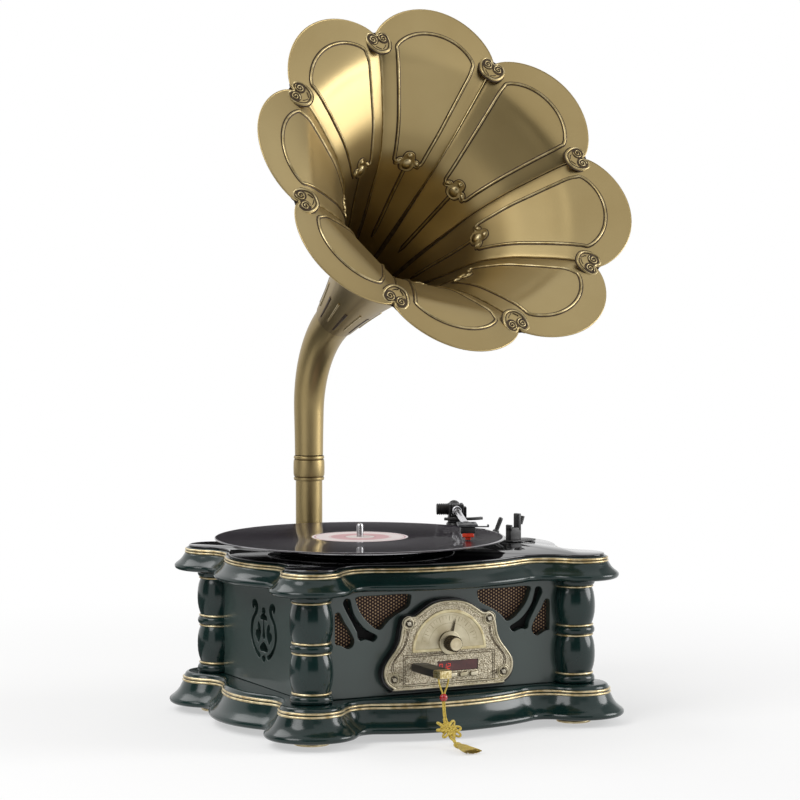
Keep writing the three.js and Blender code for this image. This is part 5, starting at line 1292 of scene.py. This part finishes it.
grey_shell = finish("grey_headshell", (0.06, 0.062, 0.068), (0.12, 0.124, 0.13), 130, (0.3, 0.45), 0.6)
shell_start = tube_end - 0.3
shell_front = shell_start - 33
shell_parts = [
    arm_block("shell_top", (-10.2, shell_front, 204.9), (10.2, shell_start - 4, 208.0), 1.0, 3),
    arm_block("shell_neck", (-3.3, shell_start - 11, 201.5), (3.3, shell_start, 208.0), 1.0, 3),
    arm_block("shell_lift", (8.5, shell_front, 205.0), (21.3, shell_start - 29.2, 206.2), 0.5, 2),
    arm_block("shell_lift_tip", (19.6, shell_front, 205.0), (21.5, shell_start - 29.0, 207.8), 0.5, 2),
]
for x in (-6, 6):
    shell_parts.append(arm_turned(
        "shell_screw", [(1.6, 208.0), (1.8, 208.3), (1.6, 208.9), (0.6, 209.0)], 20, "Z",
        (x, shell_start - 18, 0),
    ))
for part in shell_parts:
    coated(part, grey_shell)
fitted(joined("grey_headshell_moulded", shell_parts), "arm", [], "alloy", "headshell")

red_plastic = finish(
    "red_orange_plastic", (0.62, 0.03, 0.01), (0.80, 0.06, 0.02), 160, (0.24, 0.36), Coat_Weight=0.3,
)
cartridge_parts = [
    coated(arm_block(name, (-half, start, low), (half, end, high), ease, segments), material)
    for name, half, start, end, low, high, ease, segments, material in (
        ("cartridge_body", 7.7, shell_front, shell_front + 20, 198.4, 204.6, 0.9, 3, black_plastic),
        ("stylus_holder", 6, shell_front, shell_front + 10, 194.7, 199.2, 0.9, 3, red_plastic),
        ("stylus_arm", 3, shell_front + 2, shell_front + 9.6, 191.8, 196.2, 0.8, 2, red_plastic),
    )
]
fitted(joined("cartridge_with_stylus", cartridge_parts), "arm", [], "stylus", "cartridge")

# Lift bar: a curved black bar that crosses under the arm's tube. It is moulded with a round post,
# which slides up and down in the pedestal's housing.
lift_top = arm_height - 3.3 - 2.2
bar_section = [
    (-1.5, -3.0), (1.5, -3.0), (1.8, -2.7), (1.8, -0.5), (1.4, 0), (-1.4, 0), (-1.8, -0.5), (-1.8, -2.7),
]
bar_rings = []
for k in range(25):
    angle = lift_angle - math.radians(31) + math.radians(62) * k / 24
    c, s = math.cos(angle), math.sin(angle)
    bar_rings.append([
        at(arm_x + (lift_reach + out) * c, arm_y + (lift_reach + out) * s, lift_top + up)
        for out, up in bar_section
    ])
bar = smoothed(drawn_out("lift_bar_curve", bar_rings), 50)
post = smoothed(turned("lift_post", [(2.2, 179.5), (2.2, lift_top - 1.6)], (lift_x, lift_y, 0), 28), 40)
lift = joined("lift_bar_on_post", [bar, post])
fitted(lift, "lift", black_plastic, "plastic", "lift_bar")

# Cue lever: a flat black lever that leans to the right. It is moulded on a small cross barrel, which
# turns in the lever's stand.
lever_foot = Vector((lever_x, lever_y, deck_top + 4 + 0.3 + 2.6))
lever_turn = Matrix.Rotation(math.radians(24), 4, "Y")


def on_lever(x, y, z):
    return at(*(lever_foot + lever_turn @ Vector((x, y, z))))


lever_section = [
    (-1, -0.7), (-0.8, -1), (0.8, -1), (1, -0.7), (1, 0.7), (0.8, 1), (-0.8, 1), (-1, 0.7),
]
lever_rings = [
    [on_lever(x * wide, y * thick, z) for x, y in lever_section]
    for z, wide, thick in (
        (0, 1.9, 1.6), (3, 2.0, 1.6), (8, 2.1, 1.6), (13, 2.2, 1.6), (15.6, 2.1, 1.6), (16.5, 1.5, 1.1),
    )
]
lever_arm = smoothed(drawn_out("lever_arm", lever_rings), 50)
barrel_rings = []
for along, radius in ((-3.2, 2.2), (-2.9, 2.6), (2.9, 2.6), (3.2, 2.2)):
    barrel_rings.append([on_lever(radius * c, along, radius * s) for c, s in around(24)])
lever_barrel = smoothed(drawn_out("lever_barrel", barrel_rings), 40)
lever = joined("cue_lever_moulded", [lever_arm, lever_barrel])
fitted(lever, "lever", black_plastic, "plastic", "cue_lever")

# Arm rest: a black foot plate, a stem that forks into a short and a tall prong, and the small clip
# that turns on the tall prong.
rest_x, rest_y = 140, -5
park = math.atan2(rest_y - arm_y, rest_x - arm_x) + math.pi / 2
rest_turn = Matrix.Rotation(park, 4, "Z")


def on_rest(x, y, z):
    return at(*(Vector((rest_x, rest_y, 0)) + rest_turn @ Vector((x, y, z))))


fork = 3.9
rest_parts = [
    eased_block(name, (low_x, -half, low), (high_x, half, high), ease, 3, on_rest)
    for name, low_x, high_x, half, low, high, ease in (
        ("rest_foot", -7.5, 26.5, 7.5, deck_top, 178.8, 0.8),
        ("rest_stem", -fork - 3.4, fork + 4.6, 4, 176.8, 192.1, 0.9),
        ("rest_inner_prong", -fork - 3.4, -fork, 4, 188, 195.1, 0.9),
        ("rest_outer_prong", fork, fork + 4.6, 4, 188, 206.6, 1.0),
    )
]
rest = joined("forked_arm_rest", rest_parts)
fitted(rest, "player", black_plastic, "plastic", "arm_rest")
dressed("rest_clip", black_plastic)

# Horn bracket: a lacquered wooden block with a round back, screwed to the rear panel; the pipe stands
# in its bore.
pipe_x, pipe_y = -24, 158
pipe_place = (pipe_x, pipe_y, 0)
bracket_half, bracket_deep = 22, 20
bracket_outline = [(-bracket_half, -39.7), (bracket_half, -39.7), (bracket_half, 0)]
bracket_outline += [(bracket_half * c, bracket_half * s) for c, s in around(24, math.pi)[1:]]
bracket_outline += [(-bracket_half, 0)]
bracket_rings = [
    [at(pipe_x + x * s, pipe_y + y * s - (1 - s) * bracket_deep, z) for x, y in bracket_outline]
    for s, z in ((0.96, 66.0), (1, 67.2), (1, 142.4), (0.965, 144))
]
bracket = drawn_out("bracket_block", bracket_rings)
fitted(smoothed(bracket, 40), "player", lacquer, "lacquer", "horn_bracket")
bracket_ring = turned("bracket_gilt_ring", [
    (14.9, 143.9), (18.6, 143.9), (18.6, 144.0), (17.2, 144.1), (14.9, 144.1),
], pipe_place, 64)
fitted(smoothed(bracket_ring, 40), "player", gilt_line, "lacquer")

# Pipe and collar: satin antique-brass tube standing in the bracket, with a sleeve that has a groove
# near each end.
brass = finish(
    "antique_brass", (0.335, 0.25, 0.112), (0.41, 0.32, 0.157), 7, (0.34, 0.44), 1.0, span=(0.3, 0.7),
)
grain(brass, 1500, 0.06, 0.0002)

# The brass is darker where a piece's own attribute says: a slight even patina on all of it, and
# painted shade in its grooves, beside its creases and towards the throat.
tree = brass.node_tree
bare_colour = tree.nodes["Principled BSDF"].inputs["Base Color"].links[0].from_socket
patina_and_shade = node(tree, "Attribute", attribute_name="patina_and_shade")
darkened_colour = node(tree, "Mix", {
    0: patina_and_shade.outputs["Fac"], 6: bare_colour, 7: (0.085, 0.050, 0.021, 1),
}, data_type="RGBA", blend_type="MIX")
feed(tree, darkened_colour.outputs[2], "Base Color")


def shaded(piece, amount):
    """Write the attribute of patina and painted shade on a piece, from each corner's place."""
    layer = piece.data.attributes.new("patina_and_shade", "FLOAT", "POINT")
    for i, vert in enumerate(piece.data.vertices):
        layer.data[i].value = amount(vert.co, i)
    return piece


pipe = turned("horn_pipe_tube", [
    (13.4, 84.2), (14.5, 84.2), (14.5, 110), (14.5, 150), (14.5, 200), (14.5, 236), (14.5, 263.4),
    (13.4, 263.5),
], pipe_place, 72)
# A slight even patina on the pipe, and painted shade below 150 mm, where it stands in the bracket.
shaded(pipe, lambda c, i: 0.25 if c.z < 0.15 else 0.05)
fitted(smoothed(pipe, 40), "player", brass, "horn", "horn_pipe")
collar_profile = [
    (14.6, 236.6), (15.8, 236.6), (16.4, 237.2), (16.6, 238.6), (16.5, 239.8), (15.7, 240.3),
    (15.7, 240.9), (16.6, 241.4), (16.9, 244), (17.0, 250), (16.9, 256), (16.6, 258.8),
    (15.7, 259.3), (15.7, 259.9), (16.5, 260.4), (16.6, 261.8), (16.3, 263.0), (15.6, 263.6),
    (14.6, 263.7),
]
collar = turned("horn_pipe_collar", collar_profile, pipe_place, 72)
pipe_axis = at(pipe_x, pipe_y, 0)
groove_reach = 0.01585
# A slight even patina on the collar, and painted shade in its two grooves.
shaded(collar, lambda c, i: (
    0.75 if math.hypot(c.x - pipe_axis.x, c.y - pipe_axis.y) < groove_reach else 0.05
))
fitted(smoothed(collar, 35), "player", brass, "horn", "horn_collar")

# Elbow: a hollow brass tube that bends forward and widens to the bell's throat. It turns on the
# pipe.
yaw = Matrix.Rotation(math.radians(3.04), 4, "Z")
bend = math.radians(57.6)
elbow_foot_z = 264.0
elbow_rise, elbow_radius, elbow_run = 48, 115, 12
elbow_wall = 1.6


def on_horn(x, y, z):
    return at(*(Vector(pipe_place) + yaw @ Vector((x, y, z))))


def curve_at(tilt):
    """Where the elbow's middle line is once it has bent so far: [y, z]."""
    return (
        -elbow_radius * (1 - math.cos(tilt)),
        elbow_foot_z + elbow_rise + elbow_radius * math.sin(tilt),
    )


end_y = curve_at(bend)[0] - elbow_run * math.sin(bend)
end_z = curve_at(bend)[1] + elbow_run * math.cos(bend)
stations = [(0, elbow_foot_z + 0.4 + h, 0, 0.4 + h) for h in (0, 0.8, 12, 24, 36)]
for k in range(31):
    tilt = bend * k / 30
    stations.append((*curve_at(tilt), tilt, elbow_rise + elbow_radius * tilt))
total_length = elbow_rise + elbow_radius * bend + elbow_run
stations.append((end_y, end_z, bend, total_length))
elbow_rings, elbow_bore = [], []
for y, z, tilt, gone in stations:
    radius = 15.4 + 6.2 * (gone / total_length) ** 1.6
    for rings, reach in ((elbow_rings, radius), (elbow_bore, radius - elbow_wall)):
        rings.append([
            on_horn(reach * c, y + reach * s * math.cos(tilt), z + reach * s * math.sin(tilt))
            for c, s in around(72)
        ])
elbow = drawn_out("horn_elbow_tube", elbow_rings + elbow_bore[::-1], closed=True)
throat_z = at(0, 0, end_z).z
# A slight even patina on the elbow, and painted shade growing towards its top end, where it runs into the
# bell's throat.
shaded(elbow, lambda c, i: 0.06 + 0.25 * max(0, (c.z - throat_z + 0.05) / 0.06) ** 2)
fitted(smoothed(elbow, 60), "horn", brass, "horn", "horn_elbow")

# Bell: eight petals of spun and pressed brass. Every petal is a pillow between two creases, with a
# round tip. Its surface is worked out from the throat's line, so that the relief can lie on it.
petals = 8
petal_step = 2 * math.pi / petals
petal_turn = math.radians(99)
petal_round = 0.68
seam_radius, notch_radius, bell_depth = 22.0, 175.0, 268.0
petal_reach, petal_forward, petal_pillow = 31.3, 10.4, 7.4
throat_line = [
    (0, 0), (0.13, 0.038), (0.28, 0.098), (0.42, 0.172), (0.56, 0.275), (0.69, 0.372), (0.765, 0.464),
    (0.821, 0.549), (0.877, 0.66), (0.933, 0.778), (0.978, 0.895), (1, 1),
]
span = notch_radius - seam_radius


def bell_line(lobe):
    """The bell's profile at one place across a petal: [radius, depth] from throat to rim."""
    rows = []
    for i, (deep, wide) in enumerate(throat_line):
        before, after = throat_line[max(i - 1, 0)], throat_line[min(i + 1, len(throat_line) - 1)]
        slope = math.atan2((after[1] - before[1]) * span, (after[0] - before[0]) * bell_depth)
        swell = max(0.0, (deep - 0.5) / 0.5)
        pillow = lobe * petal_pillow * math.sin(swell * math.pi / 2)
        if i == len(throat_line) - 1:
            outward, forward = lobe * petal_reach, lobe * petal_forward
        else:
            outward, forward = -pillow * math.cos(slope), pillow * math.sin(slope)
        rows.append(Vector((seam_radius + span * wide + outward, bell_depth * deep + forward, 0)))
    return rows


line_cache = {}


def bell_rows(turn):
    """The fine points of the bell's profile at one turn, and how far along it each of them lies."""
    lobe = round(abs(math.sin(math.pi * turn)) ** petal_round, 4)
    if lobe not in line_cache:
        fine = smooth_line(bell_line(lobe), 16)
        reach = [0.0]
        for a, b in zip(fine, fine[1:]):
            reach.append(reach[-1] + (b - a).length)
        line_cache[lobe] = (fine, reach)
    return line_cache[lobe]


def bell_spot(turn, share):
    """A place on the bell's inside: turn in petals from the first notch, share of the way to the rim."""
    fine, reach = bell_rows(turn)
    want = min(max(share, 0), 1) * reach[-1]
    low, high = 0, len(reach) - 1
    while high - low > 1:
        mid = (low + high) // 2
        low, high = (mid, high) if reach[mid] <= want else (low, mid)
    t = (want - reach[low]) / max(reach[high] - reach[low], 1e-9)
    spot = fine[low].lerp(fine[high], t)
    angle = petal_turn + turn * petal_step
    return spot.x * math.cos(angle), spot.x * math.sin(angle), spot.y


def from_bell(x, y, z):
    """From the bell's own frame, with its axis upright at the seam, to the model."""
    along_y = end_y + y * math.cos(bend) - z * math.sin(bend)
    up = end_z + y * math.sin(bend) + z * math.cos(bend)
    return on_horn(x, along_y, up)


def on_wall(turn, share, lift=0.0):
    """A place on the bell's inside, raised towards the viewer, in the bell's own frame."""
    spot = Vector(bell_spot(turn, share))
    aside = Vector(bell_spot(turn + 0.01, share)) - Vector(bell_spot(turn - 0.01, share))
    further = Vector(bell_spot(turn, min(share + 0.01, 1))) - Vector(bell_spot(turn, share - 0.01))
    normal = aside.cross(further).normalized()
    if normal.z < 0 and share > 0.9 or normal.dot(Vector((spot.x, spot.y, 0))) > 0 and share <= 0.9:
        normal = -normal
    return spot + normal * lift


def on_bell(turn, share, lift=0.0):
    return from_bell(*on_wall(turn, share, lift))


def share_at(depth, turn=0.5):
    """How far along the profile a depth from the seam lies."""
    low, high = 0.0, 1.0
    for _ in range(30):
        mid = (low + high) / 2
        low, high = (mid, high) if bell_spot(turn, mid)[2] < depth else (low, mid)
    return low


def petal_spacing(t):
    """Where a step across a petal lies: closer together beside the creases."""
    return 0.45 * (0.5 - 0.5 * math.cos(math.pi * t)) + 0.55 * t


columns, rows = 30, 84
deselect()
bpy.ops.mesh.primitive_grid_add(x_subdivisions=petals * columns, y_subdivisions=rows, size=2)
bell = bpy.context.object
bell.name = bell.data.name = "petal_bell"
# The bell's patina and painted shade: a slight even patina, and painted shade towards the throat and
# beside the creases.
wall_shade = []
for vert in bell.data.vertices:
    u = (vert.co.x + 1) / 2 * petals
    v = (vert.co.y + 1) / 2
    petal = math.floor(u + 1e-6)
    across = petal_spacing(u - petal) if 1e-5 < u - petal < 1 - 1e-5 else 0.0
    vert.co = from_bell(*bell_spot(petal + across, v))
    near_crease = min(across, 1 - across) * 2
    throat = max(0.0, 1 - v / 0.55)
    beside = max(0, 1 - near_crease / 0.22)
    wall_shade.append(min(1, 0.34 * throat ** 1.6 + 0.30 * beside * (1 - v) ** 0.4 + 0.02))
shaded(bell, lambda c, i: wall_shade[i])
mended(bell)
middle_spot = on_wall(0.5, 0.7)
toward_viewer = from_bell(*(middle_spot + Vector((0, 0, 0.01)))) - from_bell(*middle_spot)
faces_viewer = sum(face.normal.dot(toward_viewer) for face in bell.data.polygons) > 0
with_modifier(bell, "SOLIDIFY", thickness=0.0014, offset=-1 if faces_viewer else 1)
fitted(smoothed(bell, 70), "horn", brass, "horn", "horn_bell")

# Relief on the bell: a rib over a dark groove in each notch, grooves and ribs behind the throat, a
# rolled rim, and on each petal a panel's bead over a dark line, a leaf and a stem. The dark grooves
# and lines are painted shade and painted shadow; the ribs and beads are a lighter brass, partly
# rubbed and partly painted highlight. It lies on the bell and turns with it.
# Dark brass as painted shade in creases and grooves and as painted shadow beside raised parts; lighter
# brass for raised beads, partly rubbed and partly painted highlight.
painted_shade_brass = finish("painted_shade_brass", (0.025, 0.013, 0.005), (0.070, 0.044, 0.020), 200, (0.42, 0.6), 0.5)
bright_bead = finish("rubbed_and_highlit_brass", (0.32, 0.245, 0.11), (0.50, 0.41, 0.23), 120, (0.26, 0.42), 1.0)


def row_length(turn):
    """The length in millimetres of the bell's row at one turn, from the throat to the rim."""
    return bell_rows(turn)[1][-1]


def inward(back, turn=0.5):
    """The share of the way to the rim at so many millimetres back from it."""
    return 1 - back / row_length(turn)


def petal_spot(aside, share):
    """A place on a petal, from millimetres beside its middle: [across in petals, share]."""
    across = 0.0
    for _ in range(3):
        x, y, _z = bell_spot(0.5 + across, share)
        across = aside / math.hypot(x, y) / petal_step
    return across, share


bead_section = [
    (-0.5, -0.6), (-0.5, 0.1), (-0.36, 0.75), (0, 1), (0.36, 0.75), (0.5, 0.1), (0.5, -0.6),
]


def ridges(name, lines, material, sunk=0.0, way=1):
    """Flat-footed beads along lines on the bell. A line is rows of [turn, share, height, width]. On
    the bell's back they are sunk by the wall's thickness and stand the other way."""
    parts = []
    for line in lines:
        feet = [Vector(on_wall(turn, share)) for turn, share, _h, _w in line]
        rings = []
        for i, (turn, share, height, width) in enumerate(line):
            ahead = feet[min(i + 1, len(feet) - 1)] - feet[max(i - 1, 0)]
            up = (Vector(on_wall(turn, share, 1.0)) - feet[i]).normalized()
            side = ahead.cross(up).normalized()
            rings.append([
                from_bell(*(
                    feet[i] + side * (x * width) + up * (way * (h * height if h > 0 else h) - sunk)
                )) for x, h in bead_section
            ])
        parts.append(smoothed(drawn_out(name, rings), 60))
    return fitted(joined(name, parts), "horn", material, "horn")


def even(low, high, steps):
    return [low + (high - low) * step / (steps - 1) for step in range(steps)]


crease_low, crease_high = share_at(66, 0.0), inward(6, 0.0)
groove_lines, rib_lines, back_grooves, back_ribs = [], [], [], []
for k in range(petals):
    groove, rib = [], []
    for step in range(34):
        t = step / 33
        share = crease_low + (crease_high - crease_low) * t
        groove.append((k, share, 0.6, 3.6 + 1.6 * (1 - t) ** 1.5))
        rib.append((k + 0.006, share, 1.5, 0.7 + 0.8 * t))
    groove_lines.append(groove)
    rib_lines.append(rib[8:])
    back = even(share_at(9, 0.0), share_at(50, 0.0), 12)
    back_grooves.append([(k, share, 0.5, 2.2 + 1.6 * s / 11) for s, share in enumerate(back)])
    back = even(share_at(16, 0.5), share_at(58, 0.5), 12)
    back_ribs.append([(k + 0.5, share, 1.0, 1.8 + 0.8 * s / 11) for s, share in enumerate(back)])
ridges("bell_crease_grooves", groove_lines, painted_shade_brass)
ridges("bell_crease_ribs", rib_lines, bright_bead)
ridges("bell_back_grooves", back_grooves, painted_shade_brass, 1.4, -1)
ridges("bell_back_ribs", back_ribs, bright_bead, 1.4, -1)

rim_turns = [k + petal_spacing(i / columns) for k in range(petals) for i in range(columns)]
rim_line = [on_bell(turn, 0.9985, -0.7) for turn in rim_turns]
rim = as_mesh(curve_piece(
    "bell_rolled_rim", [rim_line], True, bevel_depth=0.00095, bevel_resolution=3,
))
rim.data.name = "bell_rolled_rim"
fitted(smoothed(rim, 60), "horn", brass, "horn")

leaf_share = share_at(188, 0.5)
middle_length = row_length(0.5)
corner_share = inward(31.5, 0.845)
corner_aside, foot_aside = 43.6, 16.0
panel_wide = 0.345
panel_half = [
    (panel_wide * t, inward(28 + 3.0 * t ** 4, 0.5 + panel_wide * t)) for t in even(0, 11 / 12, 12)
]
panel_half += [
    (0.341, inward(31.4, 0.841)), (0.3465, inward(33.0, 0.8465)), (0.346, inward(35.2, 0.846)),
]
side_low = leaf_share + 9.5 / middle_length
side_high = corner_share - 5 / middle_length
for step in range(1, 19):
    t = step / 18
    aside = corner_aside + (foot_aside - corner_aside) * (1 - (1 - t) ** 1.15)
    panel_half.append(petal_spot(aside, side_high + (side_low - side_high) * t))
panel_half.append(petal_spot(15.2, leaf_share + 6.2 / middle_length))
panel_half.append(petal_spot(13.4, leaf_share + 3.6 / middle_length))
panel_lights, panel_darks = [], []
for k in range(petals):
    whole = [(0.5 - x, y) for x, y in reversed(panel_half[1:])] + [(0.5 + x, y) for x, y in panel_half]
    panel_darks.append([(k + x, y, 0.55, 4.6) for x, y in whole])
    panel_lights.append([(k + x, y, 1.7, 2.3) for x, y in whole])
ridges("petal_panel_shadows", panel_darks, painted_shade_brass)
ridges("petal_panel_beads", panel_lights, bright_bead)

stem_low = share_at(95, 0.5)
stem_high = leaf_share - 8 / middle_length
stem_line = even(stem_low, stem_high, 22)
stem_grow = [min(1.0, 0.35 + 0.65 * step / 2) for step in range(22)]
stem_lights, stem_darks = [], []
for k in range(petals):
    stem_darks.append([(k + 0.5, share, 0.5, 4.8 * grow) for share, grow in zip(stem_line, stem_grow)])
    stem_lights.append([
        (k + 0.5, share, 1.5, 2.2 * grow) for share, grow in zip(stem_line[1:], stem_grow)
    ])
ridges("petal_stem_shadows", stem_darks, painted_shade_brass)
ridges("petal_stems", stem_lights, bright_bead)

leaf_half = [
    (0, -9.5), (3.5, -9), (6.5, -6.5), (8, -3), (8.6, -0.8), (11, -1.2), (13.6, 0.6), (14.2, 3.6),
    (12.4, 6.4), (9.2, 6.8), (6.8, 5.6), (6.4, 8.6), (4.6, 11.6), (1.8, 12.6), (0, 12.7),
]


def inset_line(outline, inset):
    """A closed outline drawn in by an inset; a negative one grows it."""
    line = []
    for i, p in enumerate(outline):
        before, after = outline[i - 1], outline[(i + 1) % len(outline)]
        along = Vector((after.x - before.x, after.y - before.y)).normalized()
        line.append((p.x - along.y * inset, p.y + along.x * inset))
    return line


def cast_shape(name, half, layers, to_spot, material):
    """A small cast ornament: its outline is filled and built up in layers of [growth, height]."""
    outline = smooth_loop(both_halves(half), 4)
    rings = [
        [to_spot(x, y, height) for x, y in inset_line(outline, -growth)] for growth, height in layers
    ]
    return coated(smoothed(drawn_out(name, rings), 50), material)


# Painted shadow under each leaf, and raised lumps of lighter brass, partly rubbed and partly painted
# highlight.
leaf_lumps = [
    (0, -1.5, 5.4, 6.2, 2.6), (-10.4, 2.9, 2.7, 2.7, 2.0), (10.4, 2.9, 2.7, 2.7, 2.0),
    (0, 8.4, 2.8, 3.0, 2.0),
]
leaf_parts = []
for k in range(petals):
    def leaf_spot(x, y, lift, k=k):
        across, share = petal_spot(x, leaf_share + y / middle_length)
        return on_bell(k + 0.5 + across, share, lift)
    leaf_parts += [
        cast_shape(
            "leaf_shadow", leaf_half, ((0.9, -0.5), (0.9, 0.35), (0.2, 0.5)), leaf_spot, painted_shade_brass,
        ),
        cast_shape(
            "leaf_body", leaf_half, ((-0.1, 0.0), (-0.1, 1.0), (-0.7, 1.5), (-1.7, 1.2)), leaf_spot,
            brass,
        ),
    ]
    for x, y, wide, tall, high in leaf_lumps:
        lump = drawn_out("leaf_lump", [
            [leaf_spot(*spot, height) for spot in oval(x, y, wide * scale, tall * scale, 20)]
            for scale, height in (
                (1.0, 0.9), (0.96, 1.35), (0.8, 0.5 + high * 0.62), (0.5, 0.5 + high * 0.88),
                (0.15, 0.5 + high),
            )
        ])
        leaf_parts.append(coated(smoothed(lump, 60), bright_bead))
fitted(joined("petal_leaves", leaf_parts), "horn", [], "horn")

# Heart medallions: cast hearts with a dark outer line and a light edge bead, and in each lobe a dark
# dish with a light spiral. The dark line, dishes and veins are painted shade and shadow; the light
# bead and spirals are partly rubbed brass, partly painted highlight. One stands over each notch.
heart_half = [
    (0, -12.2), (3.4, -11.9), (6.8, -10.6), (9.6, -8.0), (11.9, -4.2), (13.3, 0.4), (13.3, 5.2),
    (11.6, 9.4), (8.4, 11.9), (5.0, 12.2), (2.2, 10.8), (0, 8.4),
]
heart_scale = 1.1
lobe_x, lobe_y = 5.6, 3.4
medal_parts = []
for k in range(petals):
    angle = petal_turn + k * petal_step
    out = Vector((math.cos(angle), math.sin(angle), 0))
    aside = Vector((-math.sin(angle), math.cos(angle), 0))
    centre = out * (notch_radius - 7.5) + Vector((0, 0, bell_depth))

    def medal_spot(x, y, lift, centre=centre, out=out, aside=aside):
        return from_bell(*(centre + (aside * x + out * y) * heart_scale + Vector((0, 0, 1)) * lift))

    medal_parts += [
        cast_shape(
            "heart_shadow", heart_half, ((0.9, -0.2), (0.9, 0.3), (0.2, 0.6)), medal_spot, painted_shade_brass,
        ),
        cast_shape(
            "heart_body", heart_half, ((-0.5, -0.3), (-0.2, 0.1), (-0.2, 1.0), (-0.7, 1.4)), medal_spot,
            brass,
        ),
    ]
    outline = smooth_loop(both_halves(heart_half), 4)
    for inset, thick, lift, material in ((1.5, 1.9, 1.3, bright_bead), (3.0, 1.2, 1.2, painted_shade_brass)):
        run = [medal_spot(x, y, lift) for x, y in inset_line(outline, inset)]
        medal_parts.append(corded("heart_edge", run, thick, material, True))
    for side in (-1, 1):
        dish = drawn_out("heart_dish", [
            [medal_spot(*spot, height) for spot in oval(side * lobe_x, lobe_y, radius, radius, 24)]
            for radius, height in ((5.8, 1.0), (5.8, 1.8), (0.6, 1.8))
        ])
        medal_parts.append(coated(dish, painted_shade_brass))
        spiral = []
        for step in range(60):
            t = step / 59
            reach = 0.5 + 4.2 * t
            turn = side * (0.6 + 3.4 * math.pi * t)
            spiral.append(medal_spot(
                side * lobe_x + side * reach * math.cos(turn), lobe_y + reach * math.sin(turn), 1.9,
            ))
        medal_parts.append(corded("heart_spiral", spiral, 1.15, bright_bead))
    for start, end in ((-5.4, -0.9), (0.9, 5.4)):
        vein = []
        for step in range(9):
            t = step / 8
            near = t if start < 0 else 1 - t
            vein.append(medal_spot(start + (end - start) * t, -4.1 - 3.8 * near ** 0.7, 1.55))
        medal_parts.append(corded("heart_vein", vein, 0.9, painted_shade_brass))
fitted(joined("heart_medallions", medal_parts), "horn", [], "horn")
